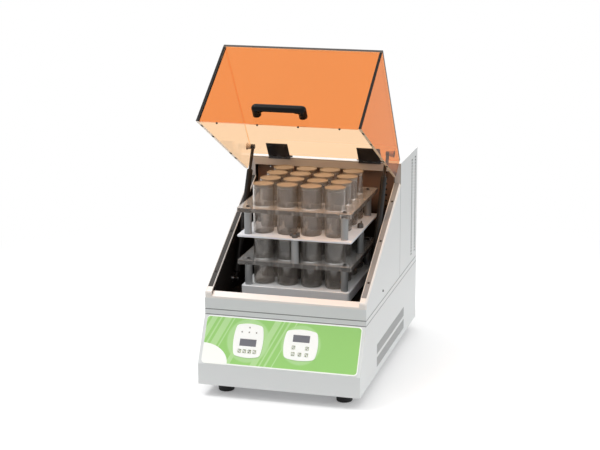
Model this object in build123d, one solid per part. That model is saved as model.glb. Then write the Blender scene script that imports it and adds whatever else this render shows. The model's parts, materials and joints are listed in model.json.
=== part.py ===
from build123d import *
import math
import os

# Incubated benchtop shaker: a heated box with a tinted lid over a shaking two-tier vial rack.
#
# Frame: millimetres, +Z up, the front faces -Y, +X is to the right of someone standing in front.
# The origin is on the floor, at the middle of the footprint. The lid is open at rest.

# ---- housing -------------------------------------------------------------------------------------
body_width = 400.0
body_depth = 642.4
foot_height = 30.0
foot_radius = 21.0
foot_inset_x, foot_inset_y = 52.0, 59.0
plinth_height = 52.0
fascia_lean = 60.5
fascia_rise = 106.2
band_height = 13.3
front_rail_height = 32.5
housing_height = 469.3
rear_length = 207.8
sheet = 1.5
base_sheet = 2.0
base_flange = 12.0
groove_depth = 1.0
groove_width = 1.4
fit_gap = 0.3
running_gap = 0.05

# ---- opening, rim and chamber --------------------------------------------------------------------
rim_slope_deg = 28.6
rim_rise = 10.4
rim_thickness = 5.0
rim_bevel = 3.5
rim_corner_radius = 9.0
front_rim_width = 14.7
front_rim_rise = 9.4
side_rim_width = 17.0
liner_sheet = 1.0
floor_above_band = 2.5
chamber_recess = 36.6
apron_height = 22.5
shaft_hole_gap = 1.5
air_hole_radius = 3.0
air_hole_pitch = 15.0
air_hole_rows = 7
air_hole_wall_gap = 29.0
air_hole_top = 10.0

# ---- screws --------------------------------------------------------------------------------------
screw_radius = 1.6
screw_head_radius = 3.2
screw_head_height = 1.4
rim_screw_length = 4.0
rim_screw_inset = 9.0
rim_screw_distances = (60.7, 187.7, 313.7)
side_screw_distance, side_screw_height = 177.1, 193.8

# ---- control panel -------------------------------------------------------------------------------
panel_side_margin, panel_margin = 7.6, 2.2
panel_thickness = 1.2
panel_corner = 9.0
keypad_thickness = 1.2
keypad_centre_height = 64.5
keypad_rim = 6.0
left_keypad_x, left_keypad_width, left_keypad_height = -82.0, 74.0, 83.0
right_keypad_x, right_keypad_width, right_keypad_height = 48.0, 84.0, 75.0
keypad_bulge = 5.0
keypad_corner = 9.0
display_width, display_height = 41.0, 17.0
left_display_height, right_display_height = 59.7, 79.8
panel_clearance = 0.15
key_size = 8.0
key_travel = 0.5
key_proud = 0.8
key_flange_height = 1.0
key_flange_margin = 1.0
key_edge_radius = 0.4
left_key_count = 4
left_key_pitch = 12.5
left_key_height = 38.7
right_key_pitch_x, right_key_pitch_s = 16.7, 15.8
right_key_height = 42.0
lens_radius = 1.8
lens_proud = 0.3
lens_pitch = 18.0
lens_height = 85.0
lens_top_offset = 11.5
board_depth = 9.6
board_thickness = 1.6
board_margin = 6.0
standoff_radius = 3.0
switch_stem_radius = 2.0

# ---- drive ---------------------------------------------------------------------------------------
orbit_radius = 5.0
rack_behind_centre = 13.0
main_crank_offset = 65.0
idler_edge_gap, idler_front_gap = 46.0, 66.0
shaft_radius = 8.0
shaft_step_depth = 60.0
pin_radius = 6.0
pin_length = 25.9
crank_disc_radius = 17.0
crank_disc_height = 4.0
pedestal_radius = 24.0
pedestal_foot_radius = 38.0
pedestal_foot_height = 6.0
crank_pulley_radius = 60.0
belt_groove_depth = 3.0
motor_pulley_radius = 22.0
motor_shaft_radius = 5.0
motor_shaft_depth = 20.0
pulley_height = 14.0
pulley_flange = 2.0
counterweight_height = 8.0
counterweight_radius = 52.0
belt_thickness = 2.0
pulley_level = 122.0
motor_distance = 165.0
motor_radius = 40.0
motor_height = 96.0

# ---- platform and rack ---------------------------------------------------------------------------
platform_overhang = 7.0
platform_skirt = 24.0
platform_sheet = 3.0
platform_corner = 6.0
hub_radius = 13.0
rack_wall_gap = 40.0
rack_corner = 5.0
acrylic_thickness = 10.0
middle_thickness = 4.0
post_radius = 9.0
post_inset = 22.0
mid_post_inset = 12.0
lower_post_length = 55.6
middle_post_length = 59.0
upper_post_length = 58.0
knob_radius = 8.0
knob_height = 9.0
knob_wing_length = 15.0
knob_wing_width = 4.0
knob_wing_height = 15.0
vial_gap = 9.2
vial_wall = 1.8
vial_base = 2.5
vial_height = 118.4
vials_per_row = 4
rack_edge = 22.6
cap_thickness = 2.6
cap_plug = 6.0
cap_rim_width = 2.0

# ---- lid -----------------------------------------------------------------------------------------
lid_open_deg = 56.2
lid_sheet = 7.0
lid_side_inset = 3.0
lid_edge_gap = 0.8
hinge_inset = 1.6
knuckle_radius = 3.6
hinge_pin_radius = 1.8
hinge_width = 57.0
hinge_side_gap = 81.0
hinge_leaf = 1.6
hinge_knuckles = 5
lid_leaf_length = 42.0
housing_leaf_length = 22.0
housing_leaf_drop = 4.0
pin_overhang = 5.0
handle_spacing = 108.0
handle_width, handle_thickness, handle_edge_radius = 21.0, 14.0, 6.0
handle_foot_radius = 11.5
handle_foot_height = 5.0
handle_standoff = 24.5
handle_bend = 17.0
handle_drop = 233.0
bumper_count, bumper_side_gap = 4, 51.0
bumper_radius = 3.0

# ---- gas struts ----------------------------------------------------------------------------------
strut_wall_gap = 9.0
strut_low_forward, strut_low_height = 210.0, 201.0
strut_high_forward, strut_high_rise = 53.0, 31.8
cylinder_radius = 7.5
cylinder_length = 266.0
cylinder_eye_offset = 16.0
rod_radius = 4.0
rod_inside = 60.0
eye_radius = 6.0
eye_width = 9.0
neck_radius = 3.5
stud_radius = 4.0
stud_flange_radius = 9.0
stud_flange_thickness = 2.0

# ---- rear compartment ----------------------------------------------------------------------------
vent_slot_length, vent_slot_height = 15.0, 3.6
vent_pitch, vent_rows = 8.2, 32
vent_bottom_height = 192.0
vent_distances = (66.2, 24.2)
louvre_front_gap, louvre_rear_gap = 177.2, 153.2
louvre_band_heights = (17.5, 50.5)
louvre_rows, louvre_pitch, louvre_slot = 6, 4.4, 1.4
louvre_cells, louvre_bar = 3, 3.0
fan_centre_height = 322.0
fan_radius = 52.0
fan_hub_radius = 15.0
fan_blade_depth = 20.0
fan_blade_thickness = 2.5
fan_blades = 8
fan_gap = 5.0
fan_shaft_radius = 3.0
fan_shaft_depth = 12.0
fan_motor_radius, fan_motor_length = 30.0, 42.0
fan_bracket_half, fan_bracket_post_radius, fan_bracket_thickness = 62.0, 4.0, 3.0
grille_slots, grille_pitch, grille_slot_height = 7, 12.0, 6.0
heater_width, heater_height, heater_depth = 220.0, 44.0, 30.0
heater_height_above_base = 204.0
heater_fin_pitch, heater_fin_thickness, heater_core = 10.0, 2.0, 16.0
supply_width, supply_depth, supply_height = 100.0, 110.0, 45.0
supply_side_gap, supply_rear_gap = 25.0, 31.2
inlet_width, inlet_height, inlet_depth = 62.0, 31.0, 24.0
inlet_flange, inlet_flange_thickness = 3.5, 2.5
inlet_side_gap, inlet_centre_height = 80.0, 82.0
socket_width, socket_height, socket_depth = 25.0, 18.0, 18.0
socket_offset = 14.5
contact_width, contact_height, contact_pitch, contact_length = 2.0, 5.0, 7.0, 15.0
rocker_width, rocker_height, rocker_offset = 14.0, 22.0, 19.5
rocker_recess = 10.0
rocker_throw_deg = 12.0
rocker_pin_radius = 1.2
rocker_proud, rocker_dip, rocker_back = 5.0, 3.2, 6.0

# ---- places that follow from the sizes above -----------------------------------------------------
half_width = body_width / 2
front_y, rear_y = -body_depth / 2, body_depth / 2
base_z = foot_height
plinth_top = base_z + plinth_height
band_bottom = plinth_top + fascia_rise
band_top = band_bottom + band_height
rail_top = band_top + front_rail_height
housing_top = base_z + housing_height
wall_y = front_y + fascia_lean
rear_front_y = rear_y - rear_length
rim_tan = math.tan(math.radians(rim_slope_deg))
inner_half = half_width - side_rim_width
chamber_floor = band_top + floor_above_band
chamber_front = wall_y + front_rim_width
chamber_rear = rear_front_y + chamber_recess
chamber_roof = housing_top - apron_height
fascia_length = math.hypot(fascia_lean, fascia_rise)
fascia = Plane(
    origin=(0, front_y, plinth_top), x_dir=(1, 0, 0), z_dir=(0, -fascia_rise, fascia_lean)
)
window_depth = 40.0
keypad_top = panel_thickness + keypad_thickness
rack_centre_y = (chamber_front + chamber_rear) / 2 + rack_behind_centre
rack_width = 2 * (inner_half - rack_wall_gap)
platform_width = rack_width - 2 * platform_overhang
vial_pitch = (rack_width - 2 * rack_edge) / vials_per_row
vial_radius = (vial_pitch - vial_gap) / 2
main_crank_y = rack_centre_y + main_crank_offset - orbit_radius
idler_x = platform_width / 2 - idler_edge_gap
idler_y = rack_centre_y - platform_width / 2 + idler_front_gap - orbit_radius
motor_y = main_crank_y + motor_distance
crank_bottom = chamber_floor + shaft_hole_gap
crank_top = crank_bottom + crank_disc_height
hub_bottom = crank_top + fit_gap
platform_top = crank_bottom + crank_disc_height + pin_length + platform_sheet
platform_bottom = platform_top - platform_skirt
lower_rack_z = platform_top + lower_post_length
middle_z = lower_rack_z + acrylic_thickness + middle_post_length
upper_rack_z = middle_z + middle_thickness + upper_post_length
pulley_z = base_z + pulley_level
crank_groove = crank_pulley_radius - belt_groove_depth
motor_groove = motor_pulley_radius - belt_groove_depth
hinge_y = rear_front_y + hinge_inset
hinge_z = housing_top + knuckle_radius + fit_gap
lid_inner_z = hinge_z - knuckle_radius + fit_gap + hinge_leaf
lid_outer_z = lid_inner_z + lid_sheet
lid_half = half_width - lid_side_inset
lid_front_y = wall_y + hinge_inset
lid_rear_y = hinge_y - knuckle_radius - fit_gap
hinge_centre_x = half_width - hinge_side_gap
bumper_pitch = 2 * (lid_half - bumper_side_gap) / (bumper_count - 1)
strut_x = inner_half - strut_wall_gap
strut_low_y, strut_low_z = hinge_y - strut_low_forward, base_z + strut_low_height
strut_high_y, strut_high_z = hinge_y - strut_high_forward, hinge_z + strut_high_rise
fan_z = base_z + fan_centre_height
inlet_x = -half_width + inlet_side_gap
inlet_z = base_z + inlet_centre_height
supply_x = -half_width + supply_side_gap + supply_width / 2
supply_y = rear_y - supply_rear_gap - supply_depth / 2
side_screw_y = wall_y + side_screw_distance
louvre_start, louvre_end = front_y + louvre_front_gap, rear_y - louvre_rear_gap
panel_width = body_width - 2 * panel_side_margin
vial_places = [(i - (vials_per_row - 1) / 2) * vial_pitch for i in range(vials_per_row)]


def rim_z(y):
    """Height of the rim's sloping top at depth y."""
    return rail_top + rim_rise + rim_tan * (y - wall_y)


# ---- shapes that repeat --------------------------------------------------------------------------
def block(x0, x1, y0, y1, z0, z1):
    """Box between two corners."""
    centre = Pos((x0 + x1) / 2, (y0 + y1) / 2, (z0 + z1) / 2)
    return centre * Box(x1 - x0, y1 - y0, z1 - z0)


def side_plate(points, x0, x1):
    """Solid with a Y-Z outline, between two X places."""
    face = Plane.YZ * make_face(Polyline(*points, close=True))
    return Pos(x0, 0, 0) * extrude(face, amount=x1 - x0, dir=(1, 0, 0))


def rod_x(radius, x0, x1, y, z):
    """Round bar along X."""
    return Pos((x0 + x1) / 2, y, z) * Rot(0, 90, 0) * Cylinder(radius, x1 - x0)


def rod_y(radius, y0, y1, x, z):
    """Round bar along Y."""
    return Pos(x, (y0 + y1) / 2, z) * Rot(90, 0, 0) * Cylinder(radius, y1 - y0)


def rod_z(radius, z0, z1, x, y):
    """Round bar along Z."""
    return Pos(x, y, (z0 + z1) / 2) * Cylinder(radius, z1 - z0)


def group(shapes):
    """Separate solids kept together in one node."""
    return Compound([solid for shape in shapes for solid in shape.solids()])


def both_sides(shape):
    """The shape and its mirror image across the middle plane, as separate solids."""
    return group([shape, mirror(shape, Plane.YZ)])


def on_fascia(x, s, depth=0.0):
    """Place on the sloping fascia: x across, s up the slope, depth outwards."""
    return fascia.location * Pos(x, s, depth)


def slab(x, s, width, height, low, high):
    """Box on the fascia, from depth low to depth high."""
    return on_fascia(x, s, (low + high) / 2) * Box(width, height, high - low)


def write(name, shape):
    """Save one sub-part."""
    export_step(shape, "parts/" + name + ".step")


# ---- casing --------------------------------------------------------------------------------------
def base_plate():
    """Floor tray of the machine, with an upturned edge the casing is screwed to."""
    half = half_width - sheet
    y0, y1 = front_y + sheet, rear_y - sheet
    tray = block(-half, half, y0, y1, base_z, base_z + base_flange)
    hollow = block(
        -half + base_sheet, half - base_sheet, y0 + base_sheet, y1 - base_sheet,
        base_z + base_sheet, base_z + 2 * base_flange,
    )
    return tray - hollow


def lower_outline(inset):
    """Side outline of the lower casing, with its front and back moved inwards by inset."""
    corner_drop = inset * (fascia_length - fascia_rise) / fascia_lean
    return [
        (front_y + inset, base_z),
        (front_y + inset, plinth_top - corner_drop),
        (wall_y + inset * fascia_length / fascia_rise, band_bottom),
        (rear_y - inset, band_bottom),
        (rear_y - inset, base_z),
    ]


def keypad_window(x, width, height):
    """Hole behind one keypad, through the panel and the fascia."""
    return slab(
        x, keypad_centre_height, width - 2 * keypad_rim, height - 2 * keypad_rim,
        -window_depth, window_depth / 2,
    )


def keypad_windows():
    """Both holes behind the keypads."""
    return [
        keypad_window(left_keypad_x, left_keypad_width, left_keypad_height),
        keypad_window(right_keypad_x, right_keypad_width, right_keypad_height),
    ]


def louvre_cutters():
    """Rows of slots low on both sides."""
    cell = (louvre_end - louvre_start + louvre_bar) / louvre_cells
    return [
        block(
            -half_width - 1, half_width + 1,
            louvre_start + i * cell, louvre_start + (i + 1) * cell - louvre_bar,
            base_z + height + j * louvre_pitch, base_z + height + j * louvre_pitch + louvre_slot,
        )
        for height in louvre_band_heights for j in range(louvre_rows) for i in range(louvre_cells)
    ]


def lower_casing():
    """Painted lower cabinet: plinth, sloping fascia, sides and back."""
    outer = side_plate(lower_outline(0), -half_width, half_width)
    inner = side_plate(lower_outline(sheet), -half_width + sheet, half_width - sheet)
    inlet_hole = block(
        inlet_x - inlet_width / 2 - panel_clearance, inlet_x + inlet_width / 2 + panel_clearance,
        rear_y - 2 * sheet, rear_y + 1,
        inlet_z - inlet_height / 2 - panel_clearance, inlet_z + inlet_height / 2 + panel_clearance,
    )
    return outer - inner - keypad_windows() - louvre_cutters() - inlet_hole


def rim_outline(drop):
    """Corner points of the sloping wall's outline, its top lowered by drop."""
    return [
        (wall_y, band_bottom), (wall_y, rail_top - drop), (wall_y + drop, rail_top - drop),
        (wall_y + drop, rim_z(wall_y + drop) - drop), (rear_front_y, rim_z(rear_front_y) - drop),
        (rear_front_y, band_bottom),
    ]


def seam_groove(level):
    """Shallow groove round the whole cabinet, its middle at one level."""
    low, high = level - groove_width / 2, level + groove_width / 2
    around = block(-body_width, body_width, wall_y - 1, rear_y + 1, low, high)
    return around - block(
        -half_width + groove_depth, half_width - groove_depth, wall_y + groove_depth,
        rear_y - groove_depth, low, high,
    )


def upper_casing():
    """Painted upper cabinet: front wall, two sloping sides and the band round the rear."""
    side = side_plate(rim_outline(rim_thickness), half_width - sheet, half_width)
    side += block(half_width - sheet, half_width, rear_front_y, rear_y, band_bottom, band_top)
    side -= rod_x(screw_radius, 0, body_width, side_screw_y, base_z + side_screw_height)
    front = block(
        -half_width, half_width, wall_y, wall_y + sheet, band_bottom, rail_top - rim_thickness
    )
    back = block(-half_width, half_width, rear_y - sheet, rear_y, band_bottom, band_top)
    shell = front + back + side + mirror(side, Plane.YZ)
    rear_seam = block(
        half_width - groove_depth, half_width + 1, rear_front_y - groove_width, rear_front_y,
        band_top, housing_top,
    )
    shell -= [seam_groove(band_bottom), seam_groove(band_top)]
    return shell - [rear_seam, mirror(rear_seam, Plane.YZ)]


def rear_cover():
    """Painted cover of the rear compartment, with an apron over the chamber and side vents."""
    outer = block(-half_width, half_width, rear_front_y, rear_y, band_top, housing_top)
    inner = block(
        -half_width + sheet, half_width - sheet, rear_front_y + sheet, rear_y - sheet,
        band_bottom, housing_top - sheet,
    )
    mouth = inner_half + liner_sheet
    front_hole = block(
        -mouth, mouth, rear_front_y - 1, rear_front_y + sheet + 1, band_bottom,
        chamber_roof + liner_sheet,
    )
    slots = [
        block(
            -half_width - 1, half_width + 1,
            rear_y - distance - vent_slot_length / 2, rear_y - distance + vent_slot_length / 2,
            base_z + vent_bottom_height + i * vent_pitch,
            base_z + vent_bottom_height + i * vent_pitch + vent_slot_height,
        )
        for distance in vent_distances for i in range(vent_rows)
    ]
    return outer - inner - front_hole - slots - seam_groove(band_top)


def rim_screw_places():
    """Where the screws sit on the right side rim: y and the height of the rim there."""
    return [(wall_y + distance, rim_z(wall_y + distance)) for distance in rim_screw_distances]


def rim_screw(x, y, z, radius_gap):
    """Screw square to the sloping rim, flush with it; with a gap it is the screw's hole."""
    place = Pos(x, y, z) * Rot(rim_slope_deg, 0, 0)
    head_height = screw_head_height + radius_gap
    head = Pos(0, 0, -head_height / 2) * Cylinder(screw_head_radius + radius_gap, head_height)
    length = rim_screw_length + radius_gap
    shank = Pos(0, 0, -length / 2) * Cylinder(screw_radius + radius_gap, length)
    return place * (head + shank)


def rim_bar():
    """Right side bar of the rim: an angled bar with a rounded, bevelled front corner."""
    t = rim_thickness
    solid = side_plate(
        [
            (wall_y, rail_top - t), (wall_y, rim_z(wall_y)), (rear_front_y, rim_z(rear_front_y)),
            (rear_front_y, rim_z(rear_front_y) - t), (wall_y + t, rim_z(wall_y + t) - t),
            (wall_y + t, rail_top - t),
        ],
        inner_half, half_width,
    )
    corner = solid.edges().filter_by(Axis.X).group_by(Axis.Y)[0].sort_by(Axis.Z)[-1]
    solid = fillet(corner, rim_corner_radius)
    outer_face = solid.faces().sort_by(Axis.X)[-1]
    outside = [
        edge for edge in outer_face.edges()
        if edge.center().Y < wall_y + 1e-3
        or edge.center().Z > rim_z(edge.center().Y) - t / 2
        or edge.geom_type == GeomType.CIRCLE
    ]
    bar = chamfer(outside, rim_bevel)
    for y, z in rim_screw_places():
        bar -= rim_screw(half_width - rim_screw_inset, y, z, running_gap)
    return bar


def rim_frame():
    """Bevelled metal frame round the chamber mouth, which the lid closes on."""
    t = rim_thickness
    front = side_plate(
        [
            (wall_y, rail_top - t), (wall_y, rail_top),
            (chamber_front, rail_top + front_rim_rise),
            (chamber_front, rail_top + front_rim_rise - t), (wall_y + t, rail_top - t),
        ],
        -inner_half, inner_half,
    )
    bar = rim_bar()
    return bar + front + mirror(bar, Plane.YZ)


def casing_screws():
    """Two side screws and six rim screws."""
    side_z = base_z + side_screw_height
    head = rod_x(
        screw_head_radius, half_width, half_width + screw_head_height, side_screw_y, side_z
    )
    shank = rod_x(
        screw_radius - running_gap, half_width - sheet - liner_sheet, half_width + 0.5,
        side_screw_y, side_z,
    )
    screws = [head + shank]
    screws += [
        rim_screw(half_width - rim_screw_inset, y, z, 0) for y, z in rim_screw_places()
    ]
    return both_sides(group(screws))


def rubber_feet():
    """Four tapered rubber feet under the base plate."""
    foot = Pos(0, 0, foot_height / 2) * Cone(foot_radius * 0.92, foot_radius, foot_height)
    foot = fillet(foot.edges().group_by(Axis.Z)[0], 2)
    x, y = half_width - foot_inset_x, rear_y - foot_inset_y
    return group([Pos(i * x, j * y, 0) * foot for i in (-1, 1) for j in (-1, 1)])


# ---- chamber -------------------------------------------------------------------------------------
def liner_body(skin):
    """Chamber space, made larger by skin on its floor, walls and roof."""
    half = inner_half + skin
    rim_under_slope = front_rim_rise / (front_rim_width - rim_thickness)
    front_top = rail_top + front_rim_rise - rim_thickness
    front_wall = [
        (chamber_front - skin, chamber_floor - skin),
        (chamber_front - skin, front_top - skin * rim_under_slope),
    ]
    if skin > 0:
        front_wall.append((chamber_front, front_top))
    return side_plate(
        front_wall + [
            (chamber_front, rim_z(chamber_front) - rim_thickness),
            (rear_front_y, rim_z(rear_front_y) - rim_thickness),
            (rear_front_y, chamber_roof + skin),
            (chamber_rear + skin, chamber_roof + skin),
            (chamber_rear + skin, chamber_floor - skin),
        ],
        -half, half,
    )


def air_holes():
    """Return-air holes beside the struts and the fan's slots, in the chamber's rear wall."""
    y0, y1 = chamber_rear - 1, chamber_rear + liner_sheet + 1
    holes = [
        rod_y(
            air_hole_radius, y0, y1, side * (inner_half - air_hole_wall_gap),
            chamber_roof - air_hole_top - i * air_hole_pitch,
        )
        for side in (-1, 1) for i in range(air_hole_rows)
    ]
    for i in range(grille_slots):
        offset = (i - (grille_slots - 1) / 2) * grille_pitch
        reach = math.sqrt(fan_radius ** 2 - offset ** 2)
        z = fan_z + offset
        holes.append(
            block(-reach, reach, y0, y1, z - grille_slot_height / 2, z + grille_slot_height / 2)
        )
    return holes


def crank_places():
    """X and Y of the three crank axes: the driven one, then the left and right idlers."""
    return [(0, main_crank_y), (-idler_x, idler_y), (idler_x, idler_y)]


def chamber_liner():
    """Sheet-metal tub of the heated chamber, with shaft holes and air holes."""
    shaft_holes = [
        rod_z(shaft_radius + shaft_hole_gap, chamber_floor - 5, chamber_floor + 1, x, y)
        for x, y in crank_places()
    ]
    return liner_body(liner_sheet) - liner_body(0) - shaft_holes - air_holes()


# ---- control panel -------------------------------------------------------------------------------
def control_panel():
    """Label plate that covers the fascia."""
    height = fascia_length - 2 * panel_margin
    face = fascia * Pos(0, fascia_length / 2) * RectangleRounded(panel_width, height, panel_corner)
    return extrude(face, amount=panel_thickness) - keypad_windows()


def left_keys():
    """Places of the keys on the left keypad: x and height up the slope."""
    first = left_keypad_x - left_key_pitch * (left_key_count - 1) / 2
    return [(first + i * left_key_pitch, left_key_height) for i in range(left_key_count)]


def right_keys():
    """Places of the keys on the right keypad: three below, two above."""
    lower = [(right_keypad_x + i * right_key_pitch_x, right_key_height) for i in (-1, 0, 1)]
    upper_s = right_key_height + right_key_pitch_s
    return lower + [(right_keypad_x + i * right_key_pitch_x, upper_s) for i in (-1, 1)]


def lens_places():
    """Places of the indicator lenses on the left keypad."""
    row = [(left_keypad_x + i * lens_pitch, lens_height) for i in (-1, 0, 1)]
    return row + [(left_keypad_x, lens_height + lens_top_offset)]


def display_places():
    """Places of the two displays."""
    return [(left_keypad_x, left_display_height), (right_keypad_x, right_display_height)]


def keypad_face(x, width, height):
    """Keypad outline: four bulging sides with rounded corners."""
    half_w, half_h = width / 2 - keypad_bulge, height / 2 - keypad_bulge
    corners = [(-half_w, -half_h), (half_w, -half_h), (half_w, half_h), (-half_w, half_h)]
    middles = [(0, -height / 2), (width / 2, 0), (0, height / 2), (-width / 2, 0)]
    face = make_face([
        ThreePointArc(corners[i], middles[i], corners[(i + 1) % 4]) for i in range(4)
    ])
    face = fillet(face.vertices(), keypad_corner)
    return fascia * Pos(x, keypad_centre_height, panel_thickness) * face


def keypad(x, width, height, keys):
    """Raised plate with holes for its keys, display and lenses."""
    plate = extrude(keypad_face(x, width, height), amount=keypad_thickness)
    hole = key_size + 2 * panel_clearance
    for key_x, key_s in keys:
        plate -= slab(key_x, key_s, hole, hole, -1, 2 * keypad_top)
    for display_x, display_s in display_places():
        plate -= slab(
            display_x, display_s, display_width + 2 * panel_clearance,
            display_height + 2 * panel_clearance, -1, 2 * keypad_top,
        )
    for lens_x, lens_s in lens_places():
        plate -= on_fascia(lens_x, lens_s) * Cylinder(lens_radius + panel_clearance, 20)
    return plate


def key(x, s):
    """Key cap with a flange that keeps it under the keypad plate."""
    flange_top = panel_thickness - fit_gap
    flange_size = key_size + 2 * key_flange_margin
    top = keypad_top + key_proud
    flange = Pos(0, 0, flange_top - key_flange_height / 2) * Box(
        flange_size, flange_size, key_flange_height
    )
    cap = Pos(0, 0, (flange_top + top) / 2) * Box(key_size, key_size, top - flange_top)
    cap = fillet(cap.edges().group_by(Axis.Z)[-1], key_edge_radius)
    return on_fascia(x, s) * (flange + cap)


def display_windows():
    """Two display modules, from the board up to the face of their keypads."""
    return group([
        slab(x, s, display_width, display_height, -board_depth + board_thickness, keypad_top)
        for x, s in display_places()
    ])


def indicator_lenses():
    """Four small light pipes."""
    low, high = -board_depth + board_thickness, keypad_top + lens_proud
    return group([
        on_fascia(x, s, (low + high) / 2) * Cylinder(lens_radius, high - low)
        for x, s in lens_places()
    ])


def control_board():
    """Circuit board behind the fascia, with its standoffs and key switches."""
    left = left_keypad_x - left_keypad_width / 2 - board_margin
    right = right_keypad_x + right_keypad_width / 2 + board_margin
    height = left_keypad_height - board_margin
    board = slab(
        (left + right) / 2, keypad_centre_height, right - left, height,
        -board_depth, -board_depth + board_thickness,
    )
    face = -board_depth + board_thickness
    length = -sheet - face
    for x in (left + standoff_radius, right - standoff_radius):
        for side in (-1, 1):
            s = keypad_centre_height + side * (height / 2 - standoff_radius)
            board += on_fascia(x, s, face + length / 2) * Cylinder(standoff_radius, length)
    stem_top = panel_thickness - fit_gap - key_flange_height - key_travel - fit_gap
    for x, s in left_keys() + right_keys():
        stem = on_fascia(x, s, (face + stem_top) / 2)
        board += stem * Cylinder(switch_stem_radius, stem_top - face)
    return board


# ---- drive ---------------------------------------------------------------------------------------
def pedestal(x, y, top):
    """Bearing pedestal on the base plate, with a blind bore for its shaft."""
    bottom = base_z + base_sheet
    body = rod_z(pedestal_foot_radius, bottom, bottom + pedestal_foot_height, x, y)
    body += rod_z(pedestal_radius, bottom, top, x, y)
    return body - rod_z(shaft_radius + running_gap, top - shaft_step_depth, top + 1, x, y)


def idler_pedestal_top():
    """Height of the two idler pedestals, just under the chamber floor."""
    return chamber_floor - liner_sheet - shaft_hole_gap


def shaft_bearings():
    """Three bearing pedestals."""
    places = crank_places()
    tops = [pulley_z - fit_gap, idler_pedestal_top(), idler_pedestal_top()]
    return group([pedestal(x, y, top) for (x, y), top in zip(places, tops)])


def crank(x, y, pedestal_top):
    """Shaft with a disc and an eccentric pin."""
    shaft = rod_z(shaft_radius, pedestal_top - shaft_step_depth + fit_gap, crank_bottom, x, y)
    disc = rod_z(crank_disc_radius, crank_bottom, crank_top, x, y)
    pin = rod_z(pin_radius, crank_top, crank_top + pin_length - fit_gap, x, y + orbit_radius)
    return shaft + disc + pin


def crank_pulley():
    """Large pulley on the crank shaft, with a counterweight opposite the pin."""
    top = pulley_z + pulley_height
    y = main_crank_y
    pulley = rod_z(crank_pulley_radius, pulley_z, top, 0, y)
    groove = rod_z(
        crank_pulley_radius + 1, pulley_z + pulley_flange, top - pulley_flange, 0, y
    ) - rod_z(crank_groove, pulley_z, top, 0, y)
    weight = rod_z(counterweight_radius, top, top + counterweight_height, 0, y)
    weight &= block(
        -crank_pulley_radius, crank_pulley_radius, y - crank_pulley_radius,
        y - pedestal_radius / 2, top, top + counterweight_height,
    )
    bore = rod_z(shaft_radius + running_gap, pulley_z - 1, top + counterweight_height + 1, 0, y)
    return pulley - groove + weight - bore


def motor_pulley():
    """Small pulley with its motor shaft."""
    top = pulley_z + pulley_height
    pulley = rod_z(motor_pulley_radius, pulley_z, top, 0, motor_y)
    groove = rod_z(
        motor_pulley_radius + 1, pulley_z + pulley_flange, top - pulley_flange, 0, motor_y
    ) - rod_z(motor_groove, pulley_z, top, 0, motor_y)
    motor_top = base_z + base_sheet + motor_height
    shaft = rod_z(motor_shaft_radius, motor_top - motor_shaft_depth + fit_gap, top, 0, motor_y)
    return pulley - groove + shaft


def belt_loop(gap, low, high):
    """Solid that wraps both pulleys at a gap from their grooves."""
    circles = [
        Pos(0, main_crank_y) * Circle(crank_groove + gap),
        Pos(0, motor_y) * Circle(motor_groove + gap),
    ]
    hull = make_hull([edge for circle in circles for edge in circle.edges()])
    return Pos(0, 0, low) * extrude(hull, amount=high - low)


def drive_belt():
    """Flat belt between the two pulleys."""
    low = pulley_z + pulley_flange + fit_gap
    high = pulley_z + pulley_height - pulley_flange - fit_gap
    return belt_loop(fit_gap + belt_thickness, low, high) - belt_loop(fit_gap, low - 1, high + 1)


def drive_motor():
    """Motor that stands on the base plate."""
    bottom = base_z + base_sheet
    top = bottom + motor_height
    can = rod_z(motor_radius, bottom, top, 0, motor_y)
    can = fillet(can.edges().group_by(Axis.Z)[-1], 4)
    flange = block(
        -motor_radius - 8, motor_radius + 8, motor_y - motor_radius, motor_y + motor_radius,
        bottom, bottom + pedestal_foot_height,
    )
    bore = rod_z(motor_shaft_radius + running_gap, top - motor_shaft_depth, top + 1, 0, motor_y)
    return can + flange - bore


# ---- platform and rack ---------------------------------------------------------------------------
def rounded_plate(width, corner, low, high):
    """Square plate centred on the rack, with rounded corners."""
    face = Pos(0, rack_centre_y, low) * RectangleRounded(width, width, corner)
    return extrude(face, amount=high - low)


def shaker_platform():
    """Upside-down tray with three hubs that sit on the crank pins."""
    inner_width = platform_width - 2 * platform_sheet
    tray = rounded_plate(platform_width, platform_corner, platform_bottom, platform_top)
    tray -= rounded_plate(
        inner_width, platform_corner - platform_sheet, platform_bottom - 1,
        platform_top - platform_sheet,
    )
    for x, y in crank_places():
        pin_y = y + orbit_radius
        tray += rod_z(hub_radius, hub_bottom, platform_top - platform_sheet, x, pin_y)
        tray -= rod_z(
            pin_radius + running_gap, hub_bottom - 1, platform_top - platform_sheet, x, pin_y
        )
    return fillet(tray.edges().group_by(Axis.Z)[-1], 1.5)


def rack_plate(low, thickness):
    """Plate with a hole for every vial."""
    plate = rounded_plate(rack_width, rack_corner, low, low + thickness)
    for x in vial_places:
        for y in vial_places:
            plate -= rod_z(
                vial_radius + fit_gap, low - 1, low + thickness + 1, x, rack_centre_y + y
            )
    return plate


def corner_posts(low, high):
    """Four posts between two levels of the rack."""
    reach = rack_width / 2 - post_inset
    return [
        rod_z(post_radius, low, high, i * reach, rack_centre_y + j * reach)
        for i in (-1, 1) for j in (-1, 1)
    ]


def edge_places():
    """X and Y of the middle of each rack edge."""
    reach = rack_width / 2 - mid_post_inset
    return [(0, rack_centre_y - reach), (0, rack_centre_y + reach), (-reach, rack_centre_y),
            (reach, rack_centre_y)]


def rack_posts():
    """Corner posts under the lower and upper plates, edge posts under the middle plate."""
    posts = corner_posts(platform_top, lower_rack_z)
    posts += corner_posts(middle_z + middle_thickness, upper_rack_z)
    posts += [
        rod_z(post_radius, lower_rack_z + acrylic_thickness, middle_z, x, y)
        for x, y in edge_places()
    ]
    return group(posts)


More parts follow.
